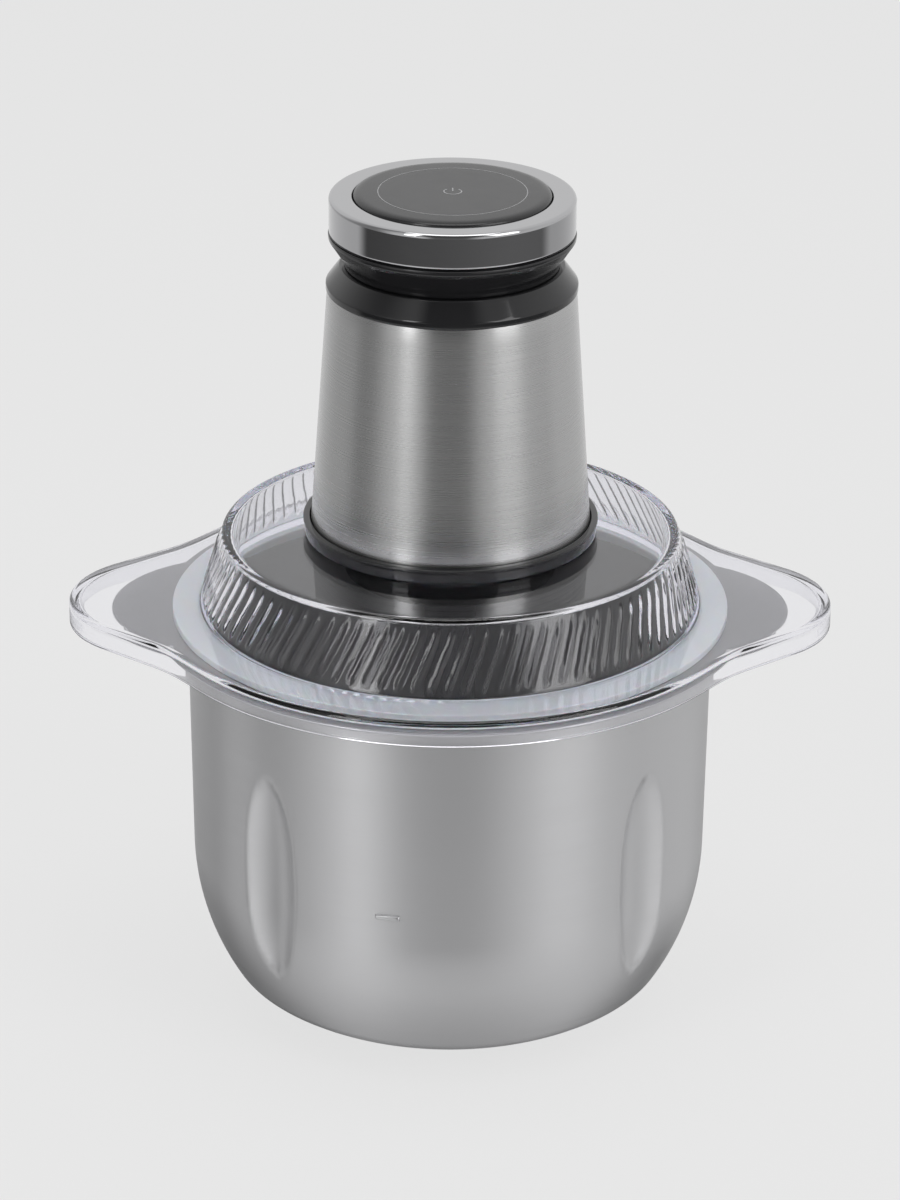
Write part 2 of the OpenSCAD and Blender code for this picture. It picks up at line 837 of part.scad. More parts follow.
module lid_seal() {
    color("lightsteelblue")
        rotate_extrude()
            polygon([[seal_in_r, lid_flange_z - seal_lip_t], [plug_out_r - seal_plug_w, lid_flange_z - seal_lip_t],
                [plug_out_r - seal_plug_w, bowl_h - seal_plug_h], [plug_out_r, bowl_h - seal_plug_h],
                [plug_out_r, bowl_h], [seal_out_r, bowl_h],
                [seal_out_r, lid_flange_z], [seal_in_r, lid_flange_z]]);
}

module base_cover() {
    color([0.16, 0.16, 0.17])
        difference() {
            union() {
                ring(base_r - base_step, 0, lid_plate_z, base_top - base_lip_h);
                ring(base_r, 0, base_top - base_lip_h, base_top + base_lip_h);
                ring(spigot_r, 0, spigot_z, lid_plate_z + tiny);
            }
            ring(sleeve_low_r + end_play, 0, base_top, base_top + 2 * base_lip_h);
            ring(ring_r - ring_ledge, 0, spigot_z + spigot_floor, ring_seat_z + tiny);
            ring(spigot_in_r, 0, ring_seat_z, ring_top + tiny);
            ring(plate_r + seat_gap, 0, ring_top, base_top + tiny);
            ring(bush_r + seat_gap, 0, spigot_z - tiny, spigot_z + spigot_floor + tiny);
            screw_places()
                ring(screw_r + seat_gap, 0, lid_plate_z + screw_hole_step, base_top + tiny);
        }
}

// the places of the three housing screws
module screw_places() {
    for (turn = [30, 150, 270])
        rotate([0, 0, turn])
            translate([screw_circle_r, 0, 0])
                children();
}

module ring_gear() {
    color("gray")
        translate([0, 0, ring_seat_z])
            difference() {
                cylinder(r = ring_r, h = ring_h);
                translate([0, 0, -tiny])
                    linear_extrude(ring_h + 2 * tiny)
                        rotate([0, 0, 180 / ring_teeth])
                            polygon(gear_points(ring_teeth, ring_pitch_r - gear_m,
                                ring_pitch_r + gear_dedendum, -backlash / 2));
            }
}

module output_bushing() {
    color("peru")
        difference() {
            union() {
                ring(bush_r, 0, spigot_z, spigot_z + spigot_floor + bush_flange_t);
                ring(bush_flange_r, 0, spigot_z + spigot_floor, spigot_z + spigot_floor + bush_flange_t);
            }
            ring(output_r + run_gap, 0, spigot_z - tiny, carrier_z);
        }
}

module planet_places() {
    for (i = [0 : planet_count - 1])
        rotate([0, 0, i * 360 / planet_count])
            translate([orbit_r, 0, 0])
                children();
}

module planet_carrier() {
    color("darkgray")
        difference() {
            union() {
                ring(carrier_r, 0, carrier_z, carrier_z + carrier_t);
                ring(output_r, 0, spigot_z - drive_step, carrier_z + tiny);
                ring(drive_pin_r, 0, drive_z + drive_floor, spigot_z);
            }
            planet_places()
                ring(planet_pin_r + seat_gap, 0, carrier_z - tiny, carrier_z + carrier_t + tiny);
        }
}

module planet_pins() {
    color("lightgray")
        planet_places()
            ring(planet_pin_r, 0, carrier_z + pin_seat, planet_z + gear_h + pin_proud);
}

// planet gear with a tooth space towards the sun pinion
module planet_gear(index) {
    color("ivory")
        rotate([0, 0, index * 360 / planet_count])
            translate([orbit_r, 0, planet_z])
                difference() {
                    rotate([0, 0, 180 / planet_teeth])
                        linear_extrude(gear_h)
                            polygon(gear_points(planet_teeth, planet_r - gear_dedendum,
                                planet_r + gear_m, backlash / 2));
                    translate([0, 0, -tiny])
                        cylinder(r = planet_pin_r + run_gap, h = gear_h + 2 * tiny);
                }
}

module planet_gear_1() {
    planet_gear(0);
}

module planet_gear_2() {
    planet_gear(1);
}

module planet_gear_3() {
    planet_gear(2);
}

module drive_square() {
    color("gray")
        difference() {
            block(drive_w, drive_w, drive_z, spigot_z - drive_step);
            ring(drive_pin_r + seat_gap, 0, drive_z + drive_floor - seat_gap, spigot_z);
        }
}

module gearbox_plate() {
    color("silver")
        difference() {
            union() {
                ring(plate_r, 0, ring_top, plate_top);
                ring(bearing_r + bearing_wall, 0, ring_top, low_boss_top);
            }
            ring(bearing_r + seat_gap, 0, low_bearing_z, low_boss_top + tiny);
            ring(sun_r + gear_m + pinion_gap, 0, ring_top - tiny, low_bearing_z + tiny);
        }
}

module lower_bearing() {
    color("lightgray")
        ring(bearing_r, shaft_r + run_gap, low_bearing_z, low_boss_top);
}

module armature_shaft() {
    color("lightgray")
        ring(shaft_r, 0, shaft_low, shaft_top);
}

module sun_pinion() {
    color("gold")
        translate([0, 0, planet_z])
            difference() {
                linear_extrude(gear_h)
                    polygon(gear_points(sun_teeth, sun_r - sun_dedendum, sun_r + gear_m, backlash / 2));
                translate([0, 0, -tiny])
                    cylinder(r = shaft_r + seat_gap, h = gear_h + 2 * tiny);
            }
}

module cooling_fan() {
    color([0.2, 0.22, 0.25])
        difference() {
            union() {
                ring(fan_r, 0, fan_z, fan_z + fan_disc_t);
                ring(shaft_r + fan_hub_w, 0, fan_z, fan_z + fan_h);
                for (i = [0 : fan_blades - 1])
                    rotate([0, 0, i * 360 / fan_blades])
                        translate([fan_blade_x, -fan_blade_t / 2, fan_z])
                            cube([fan_r - end_play - fan_blade_x, fan_blade_t, fan_h]);
            }
            ring(shaft_r + seat_gap, 0, fan_z - tiny, fan_z + fan_h + tiny);
        }
}

// the slots of the armature core
module slot_places() {
    for (i = [0 : core_slots - 1])
        rotate([0, 0, i * 360 / core_slots])
            translate([slot_x, 0, 0])
                children();
}

module armature_core() {
    color("slategray")
        difference() {
            ring(core_r, shaft_r + seat_gap, stack_low, stack_top);
            slot_places() {
                ring(slot_r, 0, stack_low - tiny, stack_top + tiny);
                translate([0, -slot_mouth / 2, stack_low - tiny])
                    cube([core_r, slot_mouth, stack_h + 2 * tiny]);
            }
        }
}

module armature_winding() {
    color("chocolate") {
        ring(core_r - winding_step, shaft_r + seat_gap, stack_low - end_turn_h, stack_low);
        ring(core_r - winding_step, shaft_r + seat_gap, stack_top, stack_top + end_turn_h);
        slot_places()
            ring(slot_r - seat_gap, 0, stack_low - slot_mouth, stack_top + slot_mouth);
    }
}

module commutator() {
    color("peru")
        difference() {
            ring(comm_r, shaft_r + seat_gap, comm_z, comm_z + comm_h);
            for (i = [0 : comm_bars - 1])
                rotate([0, 0, (i + 0.5) * 360 / comm_bars])
                    translate([comm_r - comm_groove_h, -comm_groove_w / 2, comm_z - tiny])
                        cube([2 * comm_groove_h, comm_groove_w, comm_h + 2 * tiny]);
        }
}

// wedge-shaped sector between two angles, seen from above
module sector(reach, half_angle) {
    polygon([[0, 0], reach * [cos(half_angle), -sin(half_angle)],
        reach * [sector_reach, -sector_reach / 4], reach * [sector_reach, sector_reach / 4],
        reach * [cos(half_angle), sin(half_angle)]]);
}

module stator_core() {
    color("slategray")
        translate([0, 0, stack_low])
            linear_extrude(stack_h)
                difference() {
                    circle(r = stator_r);
                    circle(r = pole_r);
                    for (turn = [0, 180])
                        rotate([0, 0, turn])
                            intersection() {
                                difference() {
                                    circle(r = stator_r - yoke_t);
                                    circle(r = pole_r - tiny);
                                }
                                sector(stator_r, window_half);
                            }
                }
}

module field_winding() {
    color("chocolate")
        for (turn = [0, 180])
            rotate([0, 0, turn]) {
                translate([0, 0, stack_low - end_turn_h])
                    linear_extrude(stack_h + 2 * end_turn_h)
                        intersection() {
                            difference() {
                                circle(r = stator_r - yoke_t - end_play);
                                circle(r = pole_r + winding_gap);
                            }
                            sector(stator_r, window_half - 1);
                        }
            }
}

module motor_housing() {
    color([0.25, 0.25, 0.27])
        difference() {
            union() {
                ring(housing_r, 0, base_top, housing_top);
                ring(housing_flange_r, 0, base_top, base_top + housing_flange_t);
            }
            ring(ledge_in_r, 0, base_top - tiny, stack_low + tiny);
            ring(housing_in_r, 0, base_top - tiny, stack_low - ledge_h);
            ring(housing_in_r, 0, stack_low, housing_top + tiny);
            screw_places()
                ring(screw_r + seat_gap, 0, base_top - tiny, base_top + housing_flange_t + tiny);
        }
}

module housing_screws() {
    color("silver")
        screw_places()
            difference() {
                union() {
                    ring(screw_r, 0, lid_plate_z + screw_tip_step, screw_seat_z);
                    ring(screw_head_r, 0, screw_seat_z, screw_head_z);
                }
                block(screw_slot_w, screw_slot_l, screw_head_z - screw_slot_h, screw_head_z + 1);
                block(screw_slot_l, screw_slot_w, screw_head_z - screw_slot_h, screw_head_z + 1);
            }
}

module brush_holders() {
    color("saddlebrown")
        for (turn = [0, 180])
            rotate([0, 0, turn])
                translate([holder_x, 0, 0])
                    difference() {
                        translate([0, -brush_w / 2 - holder_wall, brush_z - brush_w / 2 - holder_wall])
                            cube([holder_len, brush_w + 2 * holder_wall,
                                housing_top - brush_z + brush_w / 2 + holder_wall]);
                        translate([-tiny, -brush_w / 2 - seat_gap, brush_z - brush_w / 2 - seat_gap])
                            cube([holder_len - holder_floor, brush_w + 2 * seat_gap, brush_w + 2 * seat_gap]);
                    }
}

module carbon_brushes() {
    color([0.15, 0.15, 0.15])
        for (turn = [0, 180])
            rotate([0, 0, turn])
                difference() {
                    translate([comm_r - brush_sink, -brush_w / 2, brush_z - brush_w / 2])
                        cube([holder_len - holder_floor, brush_w, brush_w]);
                    ring(comm_r + run_gap, 0, brush_z - brush_w, brush_z + brush_w);
                }
}

module bearing_bracket() {
    color([0.3, 0.3, 0.32])
        difference() {
            union() {
                ring(housing_r, 0, housing_top, bracket_top);
                ring(up_boss_r, 0, housing_top, up_bearing_z + up_bearing_h);
            }
            ring(up_bearing_r + seat_gap, 0, up_bearing_z, up_bearing_z + up_bearing_h + tiny);
            ring(up_bearing_r - up_bearing_ledge, 0, housing_top - tiny, up_bearing_z + tiny);
            for (turn = [45 : 90 : 315])
                rotate([0, 0, turn])
                    translate([bracket_hole_x, 0, 0])
                        ring(bracket_hole_r, 0, housing_top - tiny, bracket_top + tiny);
        }
}

module upper_bearing() {
    color("lightgray")
        ring(up_bearing_r, shaft_r + run_gap, up_bearing_z, up_bearing_z + up_bearing_h);
}

module motor_sleeve() {
    color("lightgray")
        translate([0, 0, base_top])
            difference() {
                cylinder(r1 = sleeve_low_r, r2 = sleeve_top_r, h = sleeve_h);
                translate([0, 0, -tiny])
                    cylinder(r1 = sleeve_low_r - sleeve_t, r2 = sleeve_top_r - sleeve_t,
                        h = sleeve_h + 2 * tiny);
            }
}

module collar() {
    color([0.12, 0.12, 0.13])
        difference() {
            rotate_extrude()
                difference() {
                    union() {
                        translate([0, sleeve_top])
                            square([collar_r, collar_h - shoulder_r]);
                        translate([0, sleeve_top])
                            square([collar_r - shoulder_r, collar_h]);
                        translate([collar_r - shoulder_r, collar_top - shoulder_r])
                            intersection() {
                                circle(r = shoulder_r);
                                translate(-shoulder_r / 4 * [1, 1])
                                    square(2 * shoulder_r);
                            }
                        translate([0, bracket_top])
                            square([housing_r, sleeve_top - bracket_top + tiny]);
                    }
                    translate([0, bracket_top - 1])
                        square([housing_r - collar_wall, collar_top - collar_plate_t - bracket_top + 1]);
                    translate([0, bracket_top - 1])
                        square([shell_spigot_r + seat_gap, collar_top]);
                }
            translate([0, 0, sleeve_top + cord_hole_r + end_play])
                rotate([-90, 0, 0])
                    cylinder(r = cord_hole_r, h = collar_r + 1, $fn = fine);
        }
}

module head_shell() {
    color([0.12, 0.12, 0.13])
        rotate_extrude()
            polygon([[shell_spigot_r - shell_wall, shell_low], [shell_spigot_r, shell_low],
                [shell_spigot_r, collar_top], [neck_r, collar_top],
                [head_r, head_top - shell_band_h], [head_r, head_top], [chrome_r - groove_depth, head_top],
                [chrome_r - groove_depth, chrome_z], [carry_r, chrome_z],
                [carry_r, button_flange_top], [carry_r - carry_t, button_flange_top],
                [carry_r - carry_t, shell_ledge_z], [shell_spigot_r - shell_wall, shell_ledge_z]]);
}

module chrome_ring() {
    color("white")
        rotate_extrude()
            difference() {
                union() {
                    translate([chrome_in_r, chrome_z])
                        square([chrome_w, chrome_h - chrome_edge_r]);
                    translate([chrome_in_r, chrome_z])
                        square([chrome_w - chrome_edge_r, chrome_h]);
                    translate([chrome_r - chrome_edge_r, chrome_top - chrome_edge_r])
                        circle(r = chrome_edge_r, $fn = fine);
                }
                translate([chrome_in_r - 1, chrome_z - 1])
                    square([chrome_w + 1 - chrome_t, chrome_h + 1 - chrome_plate_t]);
            }
}

module button_disc() {
    color([0.1, 0.1, 0.11])
        rotate_extrude()
            difference() {
                union() {
                    translate([0, button_low])
                        square([button_flange_r, button_flange_t]);
                    translate([0, button_low])
                        square([button_r, button_top - button_low - button_edge / 2]);
                    translate([0, button_low])
                        square([button_r - button_edge, button_top - button_low]);
                    translate([button_r - button_edge / 2, button_top - button_edge / 2])
                        circle(r = button_edge / 2, $fn = fine);
                    translate([button_r - button_edge, button_low])
                        square([button_edge / 2, button_top - button_low]);
                }
                translate([0, button_low - 1])
                    square([button_r - button_wall, button_flange_t]);
            }
}

module button_plunger() {
    color("dimgray") {
        ring(plunger_r, 0, plunger_low, plunger_top);
        ring(plunger_disc_r, 0, plunger_top - plunger_disc_t, plunger_top);
    }
}

// points round the wire of the spring
function wire_points(low_z, high_z, turns, per_turn, sides) =
    [for (i = [0 : turns * per_turn]) for (j = [0 : sides - 1]) let (
        angle = i * 360 / per_turn,
        height = low_z + (high_z - low_z) * i / (turns * per_turn),
        around = j * 360 / sides,
        radius = spring_r + spring_wire_r * cos(around))
        [radius * cos(angle), radius * sin(angle), height + spring_wire_r * sin(around)]];

module button_spring() {
    sides = 8;
    per_turn = 24;
    low_z = guide_z + guide_t + spring_wire_r;
    high_z = plunger_top - plunger_disc_t - spring_wire_r;
    count = spring_turns * per_turn;
    color("silver")
        polyhedron(
            points = wire_points(low_z, high_z, spring_turns, per_turn, sides),
            faces = concat(
                [[for (j = [0 : sides - 1]) j]],
                [[for (j = [sides - 1 : -1 : 0]) count * sides + j]],
                [for (i = [0 : count - 1]) for (j = [0 : sides - 1]) let (k = (j + 1) % sides)
                    [i * sides + j, (i + 1) * sides + j, (i + 1) * sides + k]],
                [for (i = [0 : count - 1]) for (j = [0 : sides - 1]) let (k = (j + 1) % sides)
                    [i * sides + j, (i + 1) * sides + k, i * sides + k]]));
}

module button_guide() {
    color([0.25, 0.25, 0.27])
        difference() {
            union() {
                ring(carry_r - carry_t - seat_gap, 0, guide_z, guide_z + guide_t);
                ring(guide_tube_r, 0, guide_z, guide_z + guide_tube_h);
            }
            ring(plunger_r + run_gap, 0, guide_z - tiny, guide_z + guide_tube_h + tiny);
        }
}

module switch_stage() {
    color("silver") {
        block(2 * stage_leg_x, stage_w, stage_z, stage_z + stage_t);
        for (side = [-1, 1])
            translate([side * (stage_leg_x - stage_t / 2), 0, 0])
                block(stage_t, stage_w, bracket_top, stage_z + stage_t);
    }
}

module micro_switch() {
    color([0.15, 0.15, 0.16]) {
        block(switch_l, switch_w, stage_z + stage_t, switch_body_top);
        ring(switch_nub_r, 0, switch_body_top - tiny, switch_nub_top);
    }
}

bowl();
spindle_pin();
blade_hub();
lower_blade();
blade_spacer();
upper_blade();
blade_grip();
lid();
lid_seal();
base_cover();
ring_gear();
output_bushing();
planet_carrier();
planet_pins();
planet_gear_1();
planet_gear_2();
planet_gear_3();
drive_square();
gearbox_plate();
lower_bearing();
armature_shaft();
sun_pinion();
cooling_fan();
armature_core();
armature_winding();
commutator();
stator_core();
field_winding();
motor_housing();
housing_screws();
brush_holders();
carbon_brushes();
bearing_bracket();
upper_bearing();
motor_sleeve();
collar();
head_shell();
chrome_ring();
button_disc();
button_plunger();
button_spring();
button_guide();
switch_stage();
micro_switch();
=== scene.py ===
# %% [markdown]
# # Electric food chopper: the looks
# The solids of this chopper come from the CAD step: a steel bowl, a clear ribbed lid and a
# motor head with a push button. This notebook loads them as a fixed frame, puts smooth skins
# over the pieces that the eye sees, and gives every piece a procedural material.
# Everything is in metres, with the bowl's base at z = 0 and the front at -Y.

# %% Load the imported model
import math

import bpy
import numpy as np
from mathutils import Matrix, Vector


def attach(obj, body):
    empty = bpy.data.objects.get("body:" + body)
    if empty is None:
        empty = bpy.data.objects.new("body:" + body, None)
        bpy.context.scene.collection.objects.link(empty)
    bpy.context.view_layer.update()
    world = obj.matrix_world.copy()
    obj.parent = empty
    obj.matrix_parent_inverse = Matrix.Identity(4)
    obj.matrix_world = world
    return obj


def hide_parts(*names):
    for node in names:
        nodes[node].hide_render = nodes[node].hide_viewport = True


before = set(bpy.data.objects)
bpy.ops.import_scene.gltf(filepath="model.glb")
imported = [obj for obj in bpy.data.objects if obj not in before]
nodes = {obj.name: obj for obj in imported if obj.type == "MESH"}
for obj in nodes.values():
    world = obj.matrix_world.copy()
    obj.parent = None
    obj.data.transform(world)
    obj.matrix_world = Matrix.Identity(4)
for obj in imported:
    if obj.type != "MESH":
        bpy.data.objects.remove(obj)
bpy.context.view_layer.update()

MM = 0.001
scene = bpy.context.scene

# %% [markdown]
# ## Camera
# The photograph was taken from the front, about 23 degrees above the bowl, from a metre and
# a half away. A camera is best placed by where it looks and from how far, because then each
# number can be read off the picture. The long lens keeps the bowl's sides almost parallel.

# %% Camera
EYE_DISTANCE = 1.464
EYE_ELEVATION = math.radians(23.55)
LOOK_AT = Vector((0, 0, 0.13866))
EYE_ROLL = math.radians(0.38)
LENS = 133.7
SENSOR = 36
NEAR, FAR = 0.05, 50

eye = LOOK_AT + EYE_DISTANCE * Vector((0, -math.cos(EYE_ELEVATION), math.sin(EYE_ELEVATION)))
camera_data = bpy.data.cameras.new("camera")
camera_data.sensor_fit = "AUTO"
camera_data.sensor_width = SENSOR
camera_data.lens = LENS
camera_data.clip_start, camera_data.clip_end = NEAR, FAR
camera = bpy.data.objects.new("camera", camera_data)
scene.collection.objects.link(camera)
aim = (LOOK_AT - eye).to_track_quat("-Z", "Y").to_matrix().to_4x4()
camera.matrix_world = Matrix.Translation(eye) @ aim @ Matrix.Rotation(EYE_ROLL, 4, "Z")
scene.camera = camera
print("camera at", [round(v, 3) for v in eye])

# %% [markdown]
# ## Studio
# A product like this is photographed between tall soft boxes in front of a pale sweep.
# Steel shows its surroundings, so the surroundings are the most important part of its
# material. Seen from above, an upright wall mirrors what stands low around the object, and
# a flat top mirrors what hangs behind it. So the room is painted in belts from low to high
# directions. Each belt is a ramp over the compass: dim on the side of the camera, bright
# where the two tall boxes stand, and behind the object as pale as the backdrop that the
# camera sees. A long dark card lies between the low and the middle belt, and gives the
# chrome ring its dark front.

# %% Room as the metal sees it
BACKDROP = 0.82
PALE = (BACKDROP, BACKDROP, BACKDROP, 1)
FLOOR_BELOW = (0.45, 0.45, 0.45, 1)

# Stops are (degrees, grey). 0 degrees is the camera's side, 90 the right and 180 behind.
UNDER_BELT = [(-140, 0.10), (-100, 0.60), (-40, 0.90), (100, 0.70), (140, 0.10)]
LOW_BELT = [(-180, 0.05), (-130, 0.25), (-110, 0.75), (-30, 0.90), (0, 0.65), (40, 0.90),
    (120, 0.80), (180, 0.05)]
CARD_BELT = [(-180, BACKDROP), (-100, 0.60), (-85, 0.02), (90, 0.10), (105, 0.50),
    (180, BACKDROP)]
MIDDLE_BELT = [(-180, BACKDROP), (-75, 0.25), (-50, 0.80), (-30, 0.80), (-15, 0.10),
    (10, 0.10), (30, 0.70), (180, BACKDROP)]
HIGH_BELT = [(-130, BACKDROP), (-80, 0.25), (-45, 0.70), (-25, 0.10), (20, 0.10),
    (45, 0.60), (130, BACKDROP)]

# Each belt with the two heights of the direction between which it takes over from the one
# below it. The height is -1 straight down and 0 level.
BELTS = [
    (UNDER_BELT, -0.92, -0.84),
    (LOW_BELT, -0.60, -0.50),
    (CARD_BELT, -0.41, -0.38),
    (MIDDLE_BELT, -0.30, -0.27),
    (HIGH_BELT, -0.02, 0.22)]

scene.view_settings.view_transform = "Standard"
world = bpy.data.worlds.new("studio")
world.use_nodes = True
scene.world = world
room_nodes, room_links = world.node_tree.nodes, world.node_tree.links
room_nodes.clear()


def node_math(tree, operation, *terms):
    """Adds one sum to a node tree. Each term is an output of another node or a number."""
    made = tree.nodes.new("ShaderNodeMath")
    made.operation = operation
    for socket, term in zip(made.inputs, terms):
        if isinstance(term, (int, float)):
            socket.default_value = term
        else:
            tree.links.new(term, socket)
    return made.outputs[0]


def node_mix(tree, share, first, second):
    """Adds a shader mix: the first shader at share 0, the second at share 1."""
    made = tree.nodes.new("ShaderNodeMixShader")
    tree.links.new(share, made.inputs[0])
    tree.links.new(first, made.inputs[1])
    tree.links.new(second, made.inputs[2])
    return made.outputs[0]


def belt(compass, table):
    """Adds a grey ramp over the compass from a table of (degrees, grey) stops."""
    made = room_nodes.new("ShaderNodeValToRGB")
    ramp = made.color_ramp
    ramp.interpolation = "EASE"
    while len(ramp.elements) < len(table):
        ramp.elements.new(0.5)
    for stop, (degrees, _) in zip(ramp.elements, table):
        stop.position = degrees / 360 + 0.5
    for stop, (_, grey) in zip(ramp.elements, table):
        stop.color = (grey, grey, grey, 1)
    room_links.new(compass, made.inputs[0])
    return made.outputs["Color"]


def mixed(share, first, second):
    """Adds a colour mix: the first colour at share 0, the second at share 1."""
    made = room_nodes.new("ShaderNodeMix")
    made.data_type = "RGBA"
    room_links.new(share, made.inputs["Factor"])
    room_links.new(first, made.inputs["A"])
    room_links.new(second, made.inputs["B"])
    return made.outputs["Result"]


def step_between(value, low_end, high_end):
    """Adds a smooth step that goes from 0 to 1 while the value goes from low to high end."""
    made = room_nodes.new("ShaderNodeMapRange")
    made.interpolation_type = "SMOOTHSTEP"
    made.inputs["From Min"].default_value = low_end
    made.inputs["From Max"].default_value = high_end
    room_links.new(value, made.inputs["Value"])
    return made.outputs["Result"]


direction = room_nodes.new("ShaderNodeTexCoord")
split = room_nodes.new("ShaderNodeSeparateXYZ")
room_links.new(direction.outputs["Generated"], split.inputs[0])
toward_camera = node_math(world.node_tree, "MULTIPLY", split.outputs["Y"], -1.0)
turn = node_math(world.node_tree, "ARCTAN2", split.outputs["X"], toward_camera)
compass = node_math(world.node_tree, "MULTIPLY_ADD", turn, 1 / (2 * math.pi), 0.5)
below = room_nodes.new("ShaderNodeRGB")
below.outputs[0].default_value = FLOOR_BELOW
whole_room = below.outputs[0]
for table, low_end, high_end in BELTS:
    above = step_between(split.outputs["Z"], low_end, high_end)
    whole_room = mixed(above, whole_room, belt(compass, table))
room = room_nodes.new("ShaderNodeBackground")
room_links.new(whole_room, room.inputs["Color"])
backdrop = room_nodes.new("ShaderNodeBackground")
backdrop.inputs["Color"].default_value = PALE
path = room_nodes.new("ShaderNodeLightPath")
seen = node_math(world.node_tree, "MAXIMUM",
    path.outputs["Is Camera Ray"], path.outputs["Is Transmission Ray"])
world_out = room_nodes.new("ShaderNodeOutputWorld")
room_links.new(node_mix(world.node_tree, seen, room.outputs[0], backdrop.outputs[0]), world_out.inputs[0])
print("room painted in", len(BELTS), "belts")


# %% Soft boxes
def soft_box(name, azimuth, elevation, distance, size, power):
    """Hangs a rectangular lamp at an azimuth and elevation round the object, facing it."""
    lamp = bpy.data.lights.new(name, "AREA")
    lamp.shape = "RECTANGLE"
    lamp.size, lamp.size_y = size
    lamp.energy = power
    holder = bpy.data.objects.new(name, lamp)
    a, e = math.radians(azimuth), math.radians(elevation)
    spot = LOOK_AT + distance * Vector((math.sin(a) * math.cos(e), -math.cos(a) * math.cos(e),
        math.sin(e)))
    holder.location = spot
    holder.rotation_euler = (LOOK_AT - spot).to_track_quat("-Z", "Y").to_euler()
    scene.collection.objects.link(holder)


soft_box("left_box", -38, 24, 1.8, (0.36, 1.5), 6)
soft_box("right_box", 50, 24, 1.8, (0.8, 1.5), 9)
soft_box("top_box", 0, 80, 1.6, (1.2, 0.9), 8)

# %% [markdown]
# ## Materials
# Each finish is a Principled shader with a little procedural life in its roughness and
# bump. A noise that is squeezed along one axis gives brushing, an even fine noise gives
# moulded plastic. Values that are the same everywhere stay on the shader's own sockets.

# %% Material helpers
# Nearly all of a noise's values lie between these two.
NOISE_LOW, NOISE_HIGH = 0.3, 0.7


def principled(name, colour, metallic=0.0, roughness=0.5, **extra):
    """Makes a material with one Principled shader and sets its sockets by name."""
    made = bpy.data.materials.new(name)
    made.use_nodes = True
    shader = made.node_tree.nodes["Principled BSDF"]
    shader.inputs["Base Color"].default_value = (*colour, 1)
    shader.inputs["Metallic"].default_value = metallic
    shader.inputs["Roughness"].default_value = roughness
    for key, value in extra.items():
        shader.inputs[key.replace("_", " ")].default_value = value
    return made


def grain(made, scale, roughness_span, bump, detail=4, tint=0.0):
    """Drives roughness and bump with one stretched noise: scale gives the noise cells per
    metre along X, Y and Z, roughness_span the lowest and highest roughness, bump the height
    of the bump in metres, and tint how far the colour darkens in the noise's valleys."""
    steps, links = made.node_tree.nodes, made.node_tree.links
    shader = steps["Principled BSDF"]
    coords = steps.new("ShaderNodeTexCoord")
    mapping = steps.new("ShaderNodeMapping")
    mapping.inputs["Scale"].default_value = scale
    noise = steps.new("ShaderNodeTexNoise")
    noise.inputs["Scale"].default_value = 1
    noise.inputs["Detail"].default_value = detail
    noise.inputs["Roughness"].default_value = 0.6
    links.new(coords.outputs["Object"], mapping.inputs["Vector"])
    links.new(mapping.outputs["Vector"], noise.inputs["Vector"])
    spread = steps.new("ShaderNodeMapRange")
    spread.inputs["From Min"].default_value = NOISE_LOW
    spread.inputs["From Max"].default_value = NOISE_HIGH
    spread.inputs["To Min"].default_value = roughness_span[0]
    spread.inputs["To Max"].default_value = roughness_span[1]
    links.new(noise.outputs["Fac"], spread.inputs["Value"])
    links.new(spread.outputs["Result"], shader.inputs["Roughness"])
    relief = steps.new("ShaderNodeBump")
    relief.inputs["Strength"].default_value = 1
    relief.inputs["Distance"].default_value = bump
    links.new(noise.outputs["Fac"], relief.inputs["Height"])
    links.new(relief.outputs["Normal"], shader.inputs["Normal"])
    if tint:
        base = tuple(shader.inputs["Base Color"].default_value)
        mix = steps.new("ShaderNodeMix")
        mix.data_type = "RGBA"
        mix.inputs["A"].default_value = (*[c * (1 - tint) for c in base[:3]], 1)
        mix.inputs["B"].default_value = base
        links.new(noise.outputs["Fac"], mix.inputs["Factor"])
        links.new(mix.outputs["Result"], shader.inputs["Base Color"])
    return made


def brushed_round(made):
    """Turns the brushing round the upright axis: the radial tangent follows the lines that a
    wheel leaves on a turning pot, and the light spreads across them, up and down."""
    steps, links = made.node_tree.nodes, made.node_tree.links
    tangent = steps.new("ShaderNodeTangent")
    tangent.direction_type, tangent.axis = "RADIAL", "Z"
    links.new(tangent.outputs[0], steps["Principled BSDF"].inputs["Tangent"])
    return made


# %% Steel, chrome and other metals
# A rotation of a quarter turn lays the spread of the light across the brushing.
ACROSS = 0.25
bowl_steel = principled("bowl_steel", (0.62, 0.62, 0.63), 1.0, Anisotropic=0.8,
    Anisotropic_Rotation=ACROSS)
brushed_round(grain(bowl_steel, (9, 9, 2600), (0.30, 0.38), 0.0000014, tint=0.05))
# The satin steel's low grey is partly a duller finish and partly painted shade: it stands for the dim
# inside of the bowl, where the same steel lies in shade.
satin_shaded_steel = grain(principled("satin_shaded_steel", (0.34, 0.34, 0.35), 1.0),
    (240, 240, 2600), (0.40, 0.52), 0.000003, tint=0.08)
sleeve_steel = principled("sleeve_steel", (0.52, 0.52, 0.52), 1.0, Anisotropic=0.7,
    Anisotropic_Rotation=ACROSS)
brushed_round(grain(sleeve_steel, (10, 10, 3200), (0.26, 0.30), 0.0000006, detail=5, tint=0.05))
blade_steel = grain(principled("blade_steel", (0.66, 0.66, 0.67), 1.0),
    (1500, 60, 60), (0.16, 0.26), 0.000004)
turned_steel = grain(principled("turned_steel", (0.58, 0.58, 0.59), 1.0),
    (300, 300, 1800), (0.18, 0.3), 0.000003)
chrome = grain(principled("mirror_chrome", (0.50, 0.50, 0.51), 1.0),
    (90, 90, 90), (0.03, 0.06), 0.0000005)
brass = grain(principled("brass", (0.72, 0.50, 0.22), 1.0),
    (400, 400, 1500), (0.25, 0.4), 0.000004)
